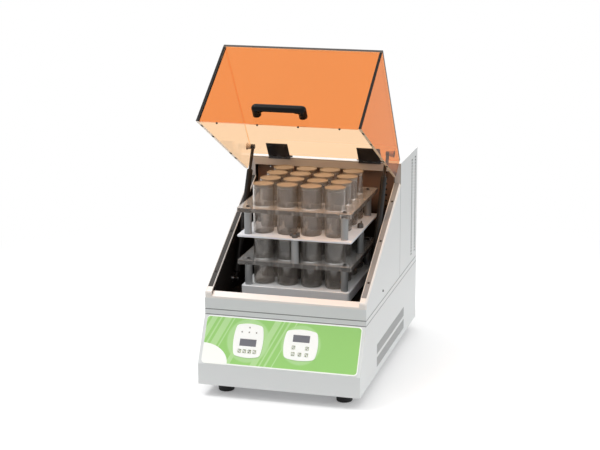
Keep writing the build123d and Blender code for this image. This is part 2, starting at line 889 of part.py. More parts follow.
def rack_knobs():
    """Four winged knobs that clamp the middle plate."""
    low = middle_z + middle_thickness
    knobs = []
    for x, y in edge_places():
        knob = rod_z(knob_radius, low, low + knob_height, x, y)
        wide = (knob_wing_length, knob_wing_width)
        across, along = wide if x == 0 else wide[::-1]
        knob += block(x - across, x + across, y - along / 2 if x == 0 else y - along,
                      y + along / 2 if x == 0 else y + along, low + 2, low + knob_wing_height)
        knobs.append(knob)
    return group(knobs)


def vial(x, y, low):
    """Straight-walled sample vial standing on its level."""
    outer = rod_z(vial_radius, low, low + vial_height, x, y)
    outer = fillet(outer.edges().group_by(Axis.Z)[0], 2)
    return outer - rod_z(vial_radius - vial_wall, low + vial_base, low + vial_height + 1, x, y)


def vial_cap(x, y, low):
    """Push-in cap with a flat rim."""
    top = low + vial_height
    rim = rod_z(vial_radius, top, top + cap_thickness, x, y)
    dish = rod_z(
        vial_radius - cap_rim_width, top + cap_thickness / 2, top + cap_thickness + 1, x, y
    )
    plug = rod_z(vial_radius - vial_wall - running_gap, top - cap_plug, top, x, y)
    return rim - dish + plug


def per_vial(maker):
    """One piece for every vial on both levels."""
    return group([
        maker(x, rack_centre_y + y, low)
        for low in (platform_top, middle_z + middle_thickness)
        for x in vial_places for y in vial_places
    ])


# ---- lid, modelled closed and then swung open ----------------------------------------------------
def swing_open(shape):
    """Turn a closed lid piece about the hinge line to its open place."""
    return Pos(0, hinge_y, hinge_z) * Rot(-lid_open_deg, 0, 0) * Pos(0, -hinge_y, -hinge_z) * shape


def lid_top():
    """Top sheet of the lid."""
    return block(-lid_half, lid_half, lid_front_y, lid_rear_y, lid_inner_z, lid_outer_z)


def lid_front():
    """Front sheet of the lid, between the side sheets, its foot cut along the rim's slope."""
    inner_y = lid_front_y + lid_sheet
    return side_plate(
        [
            (lid_front_y, rim_z(lid_front_y) + lid_edge_gap), (lid_front_y, lid_inner_z),
            (inner_y, lid_inner_z), (inner_y, rim_z(inner_y) + lid_edge_gap),
        ],
        -lid_half + lid_sheet, lid_half - lid_sheet,
    )


def lid_side():
    """Right side sheet of the lid, which covers the end of the front sheet."""
    return side_plate(
        [
            (lid_front_y, rim_z(lid_front_y) + lid_edge_gap), (lid_front_y, lid_inner_z),
            (lid_rear_y, lid_inner_z), (lid_rear_y, rim_z(lid_rear_y) + lid_edge_gap),
        ],
        lid_half - lid_sheet, lid_half,
    )


def lid_handle():
    """Bridge handle on the front sheet."""
    z = lid_outer_z - handle_drop
    half = handle_spacing / 2
    out = lid_front_y - handle_standoff
    path = FilletPolyline(
        (-half, lid_front_y - handle_foot_height, z), (-half, out, z), (half, out, z),
        (half, lid_front_y - handle_foot_height, z), radius=handle_bend,
    )
    start = Plane(origin=path @ 0, x_dir=(0, 0, 1), z_dir=path % 0)
    section = RectangleRounded(handle_width, handle_thickness, handle_edge_radius)
    grip = sweep(start * section, path=path)
    for x in (-half, half):
        grip += rod_y(handle_foot_radius, lid_front_y - handle_foot_height, lid_front_y, x, z)
    return grip


def lid_bumpers():
    """Rubber buffers under the front sheet's free edge, just clear of the rim when it is shut."""
    y = lid_front_y + lid_sheet / 2
    back = y + bumper_radius
    low = rail_top + front_rim_rise * (back - wall_y) / front_rim_width + fit_gap
    foot = side_plate(
        [
            (lid_front_y, low), (lid_front_y, rim_z(lid_front_y) + lid_edge_gap),
            (back, rim_z(back) + lid_edge_gap), (back, low),
        ],
        -lid_half, lid_half,
    )
    first = -(bumper_count - 1) / 2 * bumper_pitch
    return group([
        foot & rod_z(bumper_radius, low, lid_inner_z, first + i * bumper_pitch, y)
        for i in range(bumper_count)
    ])


def knuckle_spans(first):
    """X ranges of every second knuckle of the right hinge, from the first or second one."""
    left = hinge_centre_x - hinge_width / 2
    step = hinge_width / hinge_knuckles
    gap = fit_gap / 2
    return [
        (left + i * step + gap, left + (i + 1) * step - gap)
        for i in range(first, hinge_knuckles, 2)
    ]


def hinge_leaf_with(plate, tab_ends, first, bore_gap):
    """Leaf plate joined by tabs to its knuckles, bored for the pin."""
    leaf = plate
    for x0, x1 in knuckle_spans(first):
        leaf += rod_x(knuckle_radius, x0, x1, hinge_y, hinge_z)
        y0, y1, z0, z1 = tab_ends
        leaf += block(x0, x1, y0, y1, z0, z1)
    return leaf - rod_x(hinge_pin_radius + bore_gap, 0, body_width, hinge_y, hinge_z)


def lid_hinge_leaves():
    """Leaves under the top sheet with the second and fourth knuckles."""
    left, right = hinge_centre_x - hinge_width / 2, hinge_centre_x + hinge_width / 2
    low = lid_inner_z - hinge_leaf
    plate = block(left, right, lid_rear_y - lid_leaf_length, lid_rear_y, low, lid_inner_z)
    tab = (lid_rear_y, hinge_y, low, lid_inner_z)
    return both_sides(hinge_leaf_with(plate, tab, 1, running_gap))


def housing_hinge_leaves():
    """Leaves on the rear housing, wrapped over its front edge, with three knuckles each."""
    left, right = hinge_centre_x - hinge_width / 2, hinge_centre_x + hinge_width / 2
    top = housing_top + hinge_leaf
    plate = block(
        left, right, hinge_y + knuckle_radius + fit_gap, hinge_y + housing_leaf_length,
        housing_top, top,
    )
    wrap_y = rear_front_y - hinge_leaf
    plate += block(left, right, wrap_y, rear_front_y, housing_top - housing_leaf_drop, housing_top)
    tab = (wrap_y, hinge_y + knuckle_radius + 2 * fit_gap, housing_top, top)
    return both_sides(hinge_leaf_with(plate, tab, 0, running_gap))


def hinge_pins():
    """Pins of both hinges, each longer than its hinge."""
    left = hinge_centre_x - hinge_width / 2 - pin_overhang
    right = hinge_centre_x + hinge_width / 2
    return both_sides(rod_x(hinge_pin_radius, left, right, hinge_y, hinge_z))


# ---- gas struts ----------------------------------------------------------------------------------
strut_length = math.hypot(strut_high_y - strut_low_y, strut_high_z - strut_low_z)
strut_angle = math.degrees(math.atan2(strut_high_z - strut_low_z, strut_high_y - strut_low_y))


def along_strut(shape):
    """Place a shape made along Z from the origin onto the right strut's line."""
    return Pos(strut_x, strut_low_y, strut_low_z) * Rot(strut_angle - 90, 0, 0) * shape


def strut_cylinder():
    """Right strut's cylinder with its lower eye, hollow for the rod."""
    low, high = cylinder_eye_offset, cylinder_eye_offset + cylinder_length
    tube = rod_z(cylinder_radius, low, high, 0, 0)
    tube = fillet(tube.edges(), 2)
    tube += rod_z(neck_radius, 0, low + 1, 0, 0)
    tube += rod_x(eye_radius, -eye_width / 2, eye_width / 2, 0, 0)
    tube -= rod_x(stud_radius + running_gap, -eye_width, eye_width, 0, 0)
    rod_bottom = strut_length - rod_stroke_length() - rod_inside - fit_gap
    tube -= rod_z(rod_radius + running_gap, rod_bottom, high + 1, 0, 0)
    return along_strut(tube)


def rod_stroke_length():
    """How far the rod slides in as the lid closes."""
    y, z = strut_high_y - hinge_y, strut_high_z - hinge_z
    turn = math.radians(lid_open_deg)
    closed_y = hinge_y + y * math.cos(turn) - z * math.sin(turn)
    closed_z = hinge_z + y * math.sin(turn) + z * math.cos(turn)
    return strut_length - math.hypot(closed_y - strut_low_y, closed_z - strut_low_z)


def strut_rod():
    """Right strut's rod with its upper eye."""
    low = strut_length - rod_inside
    rod = rod_z(rod_radius, low, strut_length - eye_radius / 2, 0, 0)
    rod += rod_x(eye_radius, -eye_width / 2, eye_width / 2, 0, strut_length)
    return along_strut(rod)


def strut_base_bracket():
    """Right lower stud, fixed to the chamber wall."""
    flange = rod_x(
        stud_flange_radius, inner_half - stud_flange_thickness, inner_half,
        strut_low_y, strut_low_z,
    )
    stud = rod_x(
        stud_radius, strut_x - eye_width / 2 - 1, inner_half - 1, strut_low_y, strut_low_z
    )
    return flange + stud


def strut_lid_bracket():
    """Right upper stud, fixed to the lid's side sheet, in the lid's open place."""
    wall = lid_half - lid_sheet
    flange = rod_x(
        stud_flange_radius, wall - stud_flange_thickness, wall, strut_high_y, strut_high_z
    )
    stud = rod_x(
        eye_radius, strut_x + eye_width / 2 + fit_gap, wall - 1, strut_high_y, strut_high_z
    )
    return flange + stud


# ---- rear compartment ----------------------------------------------------------------------------
liner_back = chamber_rear + liner_sheet


def fan_rotor():
    """Paddle fan with its shaft, behind the chamber's rear wall."""
    front = liner_back + fan_gap
    back = front + fan_blade_depth
    rotor = rod_y(fan_hub_radius, front, back, 0, fan_z)
    for i in range(fan_blades):
        blade = Pos(0, 0, (fan_hub_radius + fan_radius) / 2 - 1) * Box(
            fan_blade_thickness, fan_blade_depth, fan_radius - fan_hub_radius + 2
        )
        place = Pos(0, (front + back) / 2, fan_z) * Rot(0, i * 360 / fan_blades, 0)
        rotor += place * blade
    shaft_end = fan_motor_front() + fan_shaft_depth - fit_gap
    return rotor + rod_y(fan_shaft_radius, front, shaft_end, 0, fan_z)


def fan_motor_front():
    """Depth of the fan motor's front face."""
    return liner_back + 2 * fan_gap + fan_blade_depth


def fan_motor():
    """Fan motor on a plate with four posts, fixed to the chamber's rear wall."""
    front = fan_motor_front()
    can = rod_y(fan_motor_radius, front, front + fan_motor_length, 0, fan_z)
    plate = block(
        -fan_bracket_half, fan_bracket_half, front, front + fan_bracket_thickness,
        fan_z - fan_motor_radius, fan_z + fan_motor_radius,
    )
    motor = can + plate
    reach = fan_bracket_half - fan_bracket_post_radius
    rise = fan_motor_radius - fan_bracket_post_radius
    for x in (-reach, reach):
        for z in (-rise, rise):
            motor += rod_y(fan_bracket_post_radius, liner_back, front, x, fan_z + z)
    return motor - rod_y(
        fan_shaft_radius + running_gap, front - 1, front + fan_shaft_depth, 0, fan_z
    )


def heater_element():
    """Finned heater block under the fan."""
    bottom = base_z + heater_height_above_base
    middle = bottom + heater_height / 2
    half = heater_width / 2
    core_y = liner_back + heater_depth / 2
    heater = block(
        -half, half, core_y - heater_core / 2, core_y + heater_core / 2,
        middle - heater_core / 2, middle + heater_core / 2,
    )
    count = int(heater_width / heater_fin_pitch)
    for i in range(count + 1):
        x = (i - count / 2) * (heater_width - heater_fin_thickness) / count
        heater += block(
            x - heater_fin_thickness / 2, x + heater_fin_thickness / 2, liner_back,
            liner_back + heater_depth, bottom, bottom + heater_height,
        )
    return heater


def power_supply():
    """Boxed power supply on the base plate."""
    bottom = base_z + base_sheet
    return block(
        supply_x - supply_width / 2, supply_x + supply_width / 2,
        supply_y - supply_depth / 2, supply_y + supply_depth / 2, bottom, bottom + supply_height,
    )


def centred_y(x, z, width, height, y0, y1):
    """Box along Y, centred on x and z."""
    return block(x - width / 2, x + width / 2, y0, y1, z - height / 2, z + height / 2)


def power_inlet():
    """Mains inlet module in the back wall: a socket, and a well with the switch's pivot pin."""
    outside = rear_y + inlet_flange_thickness
    body = centred_y(inlet_x, inlet_z, inlet_width, inlet_height, rear_y - inlet_depth, rear_y)
    body += centred_y(
        inlet_x, inlet_z, inlet_width + 2 * inlet_flange, inlet_height + 2 * inlet_flange,
        rear_y, outside,
    )
    socket_x = inlet_x - socket_offset
    body -= centred_y(
        socket_x, inlet_z, socket_width, socket_height, outside - socket_depth, outside + 1
    )
    well_x = inlet_x + rocker_offset
    body -= centred_y(
        well_x, inlet_z, rocker_width, rocker_height,
        outside - rocker_recess - rocker_back, outside + 1,
    )
    reach = rocker_width / 2 + 1
    body += rod_x(rocker_pin_radius, well_x - reach, well_x + reach, rocker_axis_y(), inlet_z)
    for i in (-1, 0, 1):
        body += centred_y(
            socket_x + i * contact_pitch, inlet_z, contact_width, contact_height,
            outside - socket_depth - 1, outside - socket_depth + contact_length,
        )
    return body


def rocker_axis_y():
    """Depth of the switch's pivot."""
    return rear_y + inlet_flange_thickness - rocker_dip - 1


def power_switch():
    """Rocker in the inlet module, resting with its lower end pressed in."""
    half = rocker_height / 2 - 1
    outline = [
        (rocker_proud, -half), (rocker_dip, 0), (rocker_proud, half),
        (0, half - 1), (-rocker_back, 0), (0, -half + 1),
    ]
    width = rocker_width / 2 - fit_gap
    rocker = side_plate(outline, -width, width)
    rocker -= rod_x(rocker_pin_radius + running_gap, -width - 1, width + 1, 0, 0)
    place = Pos(inlet_x + rocker_offset, rocker_axis_y(), inlet_z)
    return place * Rot(rocker_throw_deg / 2, 0, 0) * rocker


# ---- all sub-parts -------------------------------------------------------------------------------
def main():
    """Write every sub-part to its own file."""
    os.makedirs("parts", exist_ok=True)
    write("base_plate", base_plate())
    write("lower_casing", lower_casing())
    write("upper_casing", upper_casing())
    write("rear_cover", rear_cover())
    write("rim_frame", rim_frame())
    write("casing_screws", casing_screws())
    write("rubber_feet", rubber_feet())
    write("chamber_liner", chamber_liner())
    write("control_panel", control_panel())
    write("left_keypad", keypad(
        left_keypad_x, left_keypad_width, left_keypad_height, left_keys()))
    write("right_keypad", keypad(
        right_keypad_x, right_keypad_width, right_keypad_height, right_keys()))
    for i, (x, s) in enumerate(left_keys()):
        write("left_key_" + str(i + 1), key(x, s))
    for i, (x, s) in enumerate(right_keys()):
        write("right_key_" + str(i + 1), key(x, s))
    write("display_windows", display_windows())
    write("indicator_lenses", indicator_lenses())
    write("control_board", control_board())
    write("shaft_bearings", shaft_bearings())
    main_place, left_place, right_place = crank_places()
    write("crank_shaft", crank(*main_place, pulley_z - fit_gap))
    write("left_idler_crank", crank(*left_place, idler_pedestal_top()))
    write("right_idler_crank", crank(*right_place, idler_pedestal_top()))
    write("crank_pulley", crank_pulley())
    write("motor_pulley", motor_pulley())
    write("drive_belt", drive_belt())
    write("drive_motor", drive_motor())
    write("shaker_platform", shaker_platform())
    write("lower_rack_plate", rack_plate(lower_rack_z, acrylic_thickness))
    write("middle_plate", rounded_plate(
        rack_width, rack_corner, middle_z, middle_z + middle_thickness))
    write("upper_rack_plate", rack_plate(upper_rack_z, acrylic_thickness))
    write("rack_posts", rack_posts())
    write("rack_knobs", rack_knobs())
    write("vials", per_vial(vial))
    write("vial_caps", per_vial(vial_cap))
    write("lid_top", swing_open(lid_top()))
    write("lid_front", swing_open(lid_front()))
    write("lid_left", swing_open(mirror(lid_side(), Plane.YZ)))
    write("lid_right", swing_open(lid_side()))
    write("lid_handle", swing_open(lid_handle()))
    write("lid_bumpers", swing_open(lid_bumpers()))
    write("lid_hinge_leaves", swing_open(lid_hinge_leaves()))
    write("housing_hinge_leaves", housing_hinge_leaves())
    write("hinge_pins", hinge_pins())
    cylinder, rod = strut_cylinder(), strut_rod()
    write("right_strut_cylinder", cylinder)
    write("left_strut_cylinder", mirror(cylinder, Plane.YZ))
    write("right_strut_rod", rod)
    write("left_strut_rod", mirror(rod, Plane.YZ))
    write("strut_base_brackets", both_sides(strut_base_bracket()))
    write("strut_lid_brackets", both_sides(strut_lid_bracket()))
    write("fan_rotor", fan_rotor())
    write("fan_motor", fan_motor())
    write("heater_element", heater_element())
    write("power_supply", power_supply())
    write("power_inlet", power_inlet())
    write("power_switch", power_switch())
    print("rod stroke", round(rod_stroke_length(), 3), "strut angle", round(strut_angle, 3))


main()
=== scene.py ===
"""Looks of an incubated benchtop shaker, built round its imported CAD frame.

Measures are in metres in the CAD's own frame: +Z up, the front faces -Y, +X to the right.
"""
import json
import logging
import math
from dataclasses import dataclass
from enum import Enum, IntEnum
from functools import reduce
from typing import Callable, Iterable, Sequence

import bmesh
import bpy
from mathutils import Matrix, Vector

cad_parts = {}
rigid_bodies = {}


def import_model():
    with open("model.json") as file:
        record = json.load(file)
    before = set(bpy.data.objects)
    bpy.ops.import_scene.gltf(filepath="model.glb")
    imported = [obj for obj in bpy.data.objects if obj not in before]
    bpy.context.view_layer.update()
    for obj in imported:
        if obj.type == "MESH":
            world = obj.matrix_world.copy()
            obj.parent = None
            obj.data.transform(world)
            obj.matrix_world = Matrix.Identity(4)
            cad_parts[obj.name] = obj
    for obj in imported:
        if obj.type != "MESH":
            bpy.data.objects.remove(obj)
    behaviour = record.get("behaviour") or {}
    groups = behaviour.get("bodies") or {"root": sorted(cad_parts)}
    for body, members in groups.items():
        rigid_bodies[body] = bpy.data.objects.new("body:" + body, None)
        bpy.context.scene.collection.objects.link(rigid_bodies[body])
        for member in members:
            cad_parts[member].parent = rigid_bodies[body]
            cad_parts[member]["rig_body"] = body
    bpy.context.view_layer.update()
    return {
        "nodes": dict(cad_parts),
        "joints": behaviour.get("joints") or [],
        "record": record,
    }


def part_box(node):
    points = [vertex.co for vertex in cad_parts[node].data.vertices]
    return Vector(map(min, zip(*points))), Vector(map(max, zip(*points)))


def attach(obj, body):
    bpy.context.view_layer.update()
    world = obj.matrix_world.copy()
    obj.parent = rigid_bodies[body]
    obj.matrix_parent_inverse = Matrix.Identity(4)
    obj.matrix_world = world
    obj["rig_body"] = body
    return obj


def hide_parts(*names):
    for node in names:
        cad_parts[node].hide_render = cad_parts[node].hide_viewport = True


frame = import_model()
LOG = logging.getLogger("shaker")

MM = 0.001
Colour = tuple[float, float, float]


def srgb(red: float, green: float, blue: float) -> Colour:
    """Linear colour from screen values.

    Args:
        red, green, blue: Screen values from 0 to 255.

    Returns:
        The linear colour.
    """
    def linear(value: float) -> float:
        """One channel of it."""
        share = value / 255
        return share / 12.92 if share <= 0.04045 else ((share + 0.055) / 1.055) ** 2.4

    return linear(red), linear(green), linear(blue)


def corners(points: Iterable[Vector]) -> tuple[Vector, Vector]:
    """Lowest and highest corner of some points."""
    rows = list(zip(*points))
    return Vector([min(row) for row in rows]), Vector([max(row) for row in rows])


def joint(name: str) -> dict:
    """The record's joint of that name."""
    return next(row for row in frame["joints"] if row["name"] == name)


def body_of(node: str) -> str:
    """The body that carries a CAD node."""
    return frame["nodes"][node]["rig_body"]


def shift(x: float, y: float, z: float) -> Matrix:
    """Matrix that moves by three lengths."""
    return Matrix.Translation((x, y, z))


def turn(degrees: float, axis: str) -> Matrix:
    """Matrix that turns round an axis of the frame."""
    return Matrix.Rotation(math.radians(degrees), 4, axis)


# ---- the machine's own places ------------------------------------------------------------------
@dataclass(frozen=True)
class Fascia:
    """The sloping control fascia: x runs across, s runs up its slope, depth outwards."""

    foot_y: float = -0.3212
    foot_z: float = 0.082
    lean: float = 0.0605
    rise: float = 0.1062

    @property
    def length(self) -> float:
        """Length of the slope."""
        return math.hypot(self.lean, self.rise)

    @property
    def up(self) -> Vector:
        """Direction up the slope."""
        return Vector((0, self.lean, self.rise)) / self.length

    @property
    def out(self) -> Vector:
        """Direction out of the slope."""
        return Vector((0, -self.rise, self.lean)) / self.length

    @property
    def foot(self) -> Vector:
        """Middle of the slope's lower edge."""
        return Vector((0, self.foot_y, self.foot_z))

    def place(self, x: float, s: float, depth: float = 0.0) -> Matrix:
        """Matrix that puts a shape made flat at the origin onto the slope.

        Args:
            x: Place across.
            s: Place up the slope.
            depth: Height above the fascia's sheet.

        Returns:
            The matrix, with local Z pointing out of the slope.
        """
        origin = self.foot + Vector((x, 0, 0)) + self.up * s + self.out * depth
        axes = Matrix((Vector((1, 0, 0)), self.up, self.out)).transposed()
        return Matrix.Translation(origin) @ axes.to_4x4()

    def slope_of(self, point: Vector) -> float:
        """How far up the slope a point lies."""
        return (point - self.foot).dot(self.up)


FASCIA = Fascia()
KEYPAD_TOP = 2.4 * MM
HINGE = Vector(joint("lid_hinge")["pos_m"])
OPEN_ANGLE = math.radians(joint("lid_hinge")["range_deg"][1])
OPEN_LID = (
    Matrix.Translation(HINGE) @ Matrix.Rotation(-OPEN_ANGLE, 4, "X") @ Matrix.Translation(-HINGE)
)


def shut_points(node: str) -> list[Vector]:
    """A lid node's points with the lid shut."""
    back = OPEN_LID.inverted()
    return [back @ vert.co for vert in frame["nodes"][node].data.vertices]


def shut_box(node: str) -> tuple[Vector, Vector]:
    """Lowest and highest corner of a lid node with the lid shut."""
    return corners(shut_points(node))


# ---- modelling by hand -------------------------------------------------------------------------
FaceTest = Callable[[bmesh.types.BMFace], bool]
EdgeTest = Callable[[bmesh.types.BMEdge], bool]


class Part:
    """One mesh on the bench, shaped with Blender's own modelling operators."""

    def __init__(self, thing: bpy.types.Object, name: str) -> None:
        """Takes over an object that has just been added, under its new name."""
        self.thing = thing
        thing.name = thing.data.name = name

    @staticmethod
    def clear() -> None:
        """Deselects everything."""
        for other in bpy.context.view_layer.objects:
            other.select_set(False)

    @classmethod
    def added(cls, name: str) -> "Part":
        """The primitive that was just added, with its place and size put into its mesh."""
        bpy.ops.object.transform_apply(location=True, rotation=True, scale=True)
        return cls(bpy.context.object, name)

    @classmethod
    def block(cls, name: str, low: Sequence[float], high: Sequence[float]) -> "Part":
        """A box between two corners, to start from.

        Args:
            name: The piece's name.
            low: Lowest corner.
            high: Highest corner.

        Returns:
            The new part.
        """
        cls.clear()
        low, high = Vector(low), Vector(high)
        bpy.ops.mesh.primitive_cube_add(size=1, location=(low + high) / 2)
        bpy.context.object.scale = high - low
        return cls.added(name)

    @classmethod
    def ball(cls, name: str, radius: float, centre: Sequence[float]) -> "Part":
        """A ball, to start from.

        Args:
            name: The piece's name.
            radius: Its radius.
            centre: Its middle.

        Returns:
            The new part.
        """
        cls.clear()
        bpy.ops.mesh.primitive_uv_sphere_add(radius=radius, location=tuple(centre))
        return cls.added(name)

    @classmethod
    def drum(cls, name: str, radius: float, low: float, high: float, sides: int = 32) -> "Part":
        """An upright round bar on the Z axis, to start from.

        Args:
            name: The piece's name.
            radius: Its radius.
            low: Height of its lower end.
            high: Height of its upper end.
            sides: Number of flats.

        Returns:
            The new part.
        """
        cls.clear()
        bpy.ops.mesh.primitive_cylinder_add(
            vertices=sides, radius=radius, depth=high - low, location=(0, 0, (low + high) / 2)
        )
        return cls.added(name)

    def activate(self) -> None:
        """Makes this the only selected object."""
        self.clear()
        self.thing.select_set(True)
        bpy.context.view_layer.objects.active = self.thing

    def edit(self) -> bmesh.types.BMesh:
        """Enters edit mode with nothing selected.

        Returns:
            The edit mesh.
        """
        self.activate()
        bpy.ops.object.mode_set(mode="EDIT")
        bpy.ops.mesh.select_all(action="DESELECT")
        return bmesh.from_edit_mesh(self.thing.data)

    @staticmethod
    def leave() -> None:
        """Goes back to object mode."""
        bpy.ops.object.mode_set(mode="OBJECT")

    def pick(self, kind: str, test: FaceTest | EdgeTest) -> None:
        """Enters edit mode and selects what passes a test.

        Args:
            kind: What is picked, "faces" or "edges".
            test: Chooses among them.
        """
        bpy.context.tool_settings.mesh_select_mode = (False, kind == "edges", kind == "faces")
        mesh = self.edit()
        for item in getattr(mesh, kind):
            item.select_set(test(item))
        bmesh.update_edit_mesh(self.thing.data)

    def inset(self, test: FaceTest, thickness: float, depth: float = 0.0) -> "Part":
        """Insets the chosen faces.

        Args:
            test: Chooses the faces.
            thickness: Width of the new margin.
            depth: How far the middle rises.

        Returns:
            This part.
        """
        self.pick("faces", test)
        bpy.ops.mesh.inset(thickness=thickness, depth=depth)
        self.leave()
        return self

    def push(self, test: FaceTest, move: Sequence[float], scale: float = 1.0) -> "Part":
        """Extrudes the chosen faces.

        Args:
            test: Chooses the faces.
            move: How far and which way they go.
            scale: Size of the new faces against the old.

        Returns:
            This part.
        """
        self.pick("faces", test)
        bpy.ops.mesh.extrude_region_move(TRANSFORM_OT_translate={"value": tuple(move)})
        if scale != 1.0:
            bpy.ops.transform.resize(value=(scale, scale, scale))
        self.leave()
        return self

    def bevel_edges(self, test: EdgeTest, width: float, segments: int = 3) -> "Part":
        """Rounds the chosen edges.

        Args:
            test: Chooses the edges.
            width: Width of the rounding.
            segments: Its number of steps.

        Returns:
            This part.
        """
        self.pick("edges", test)
        bpy.ops.mesh.bevel(offset=width, segments=segments, affect="EDGES")
        self.leave()
        return self

    def cut(self, point: Sequence[float], normal: Sequence[float]) -> "Part":
        """Cuts through the whole part, drops one side and closes the cut.

        Args:
            point: A point on the cut.
            normal: The cut's normal, which points at the side that goes.

        Returns:
            This part.
        """
        self.edit()
        bpy.ops.mesh.select_all(action="SELECT")
        bpy.ops.mesh.bisect(
            plane_co=tuple(point), plane_no=tuple(normal), use_fill=True, clear_outer=True
        )
        self.leave()
        return self

    def modifier(self, kind: str, **settings: object) -> "Part":
        """Adds a modifier and applies it.

        Args:
            kind: Blender's name for the modifier.
            **settings: Its settings.

        Returns:
            This part.
        """
        self.activate()
        added = self.thing.modifiers.new(kind.lower(), kind)
        for key, value in settings.items():
            setattr(added, key, value)
        bpy.ops.object.modifier_apply(modifier=added.name)
        return self

    def soften(self, width: float, segments: int = 2, angle: float = 35.0) -> "Part":
        """Rounds every edge that is sharper than an angle.

        Args:
            width: Width of the rounding.
            segments: Its number of steps.
            angle: Least angle in degrees.

        Returns:
            This part.
        """
        return self.modifier(
            "BEVEL", width=width, segments=segments, limit_method="ANGLE",
            angle_limit=math.radians(angle), harden_normals=False,
        )

    def smooth(self, angle: float = 40.0) -> "Part":
        """Shades it smooth, apart from edges sharper than an angle.

        Args:
            angle: That angle in degrees.

        Returns:
            This part.
        """
        self.activate()
        bpy.ops.object.shade_smooth_by_angle(angle=math.radians(angle))
        return self

    def move(self, matrix: Matrix) -> "Part":
        """Puts the mesh in its place, with the object left at the origin.

        Args:
            matrix: Where it goes.

        Returns:
            This part.
        """
        self.thing.data.transform(matrix)
        if matrix.determinant() < 0:
            self.thing.data.flip_normals()
        return self

    def copy(self, name: str, matrix: Matrix) -> "Part":
        """A copy with its own mesh.

        Args:
            name: The copy's name.
            matrix: Where it goes.

        Returns:
            The new part.
        """
        twin = self.thing.copy()
        twin.data = self.thing.data.copy()
        bpy.context.scene.collection.objects.link(twin)
        return Part(twin, name).move(matrix)

    def join(self, others: Iterable["Part"]) -> "Part":
        """Joins other parts into this one, each keeping its finishes.

        Args:
            others: The parts that go in.

        Returns:
            This part.
        """
        self.activate()
        for other in others:
            other.thing.select_set(True)
        bpy.ops.object.join()
        return self

    def spread(self, name: str, places: Iterable[Matrix]) -> "Part":
        """Copies this pattern to its places as one piece; the pattern goes.

        Args:
            name: The piece's name.
            places: Where the copies go.

        Returns:
            The piece.
        """
        copies = [self.copy(f"{name}_{i}", place) for i, place in enumerate(places)]
        self.drop()
        copies[0].join(copies[1:]).thing.name = name
        return copies[0]

    def drop(self) -> None:
        """Removes a part that only served as a pattern."""
        bpy.data.objects.remove(self.thing)

    def dress(self, *finishes: bpy.types.Material) -> "Part":
        """Gives it its finishes, the first one all over.

        Args:
            *finishes: Its materials in their order.

        Returns:
            This part.
        """
        self.thing.data.materials.clear()
        for finish in finishes:
            self.thing.data.materials.append(finish)
        return self

    def paint(self, test: Callable[[bpy.types.MeshPolygon], bool], index: int) -> "Part":
        """Gives some faces another of its finishes.

        Args:
            test: Chooses the faces.
            index: Number of the finish.

        Returns:
            This part.
        """
        for face in self.thing.data.polygons:
            if test(face):
                face.material_index = index
        return self

    def fit(self, body: str, slot: str = "", nodes: Sequence[str] = ()) -> "Part":
        """Hands the finished piece to its body.

        Args:
            body: The body that it rides on.
            slot: The record's material slot, which is not used.
            nodes: CAD nodes that it stands for.

        Returns:
            This part.
        """
        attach(self.thing, body)
        if nodes:
            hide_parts(*nodes)
        LOG.info("piece %s rides on %s", self.thing.name, body)
        return self


# ---- shader work -------------------------------------------------------------------------------
Socket = bpy.types.NodeSocket


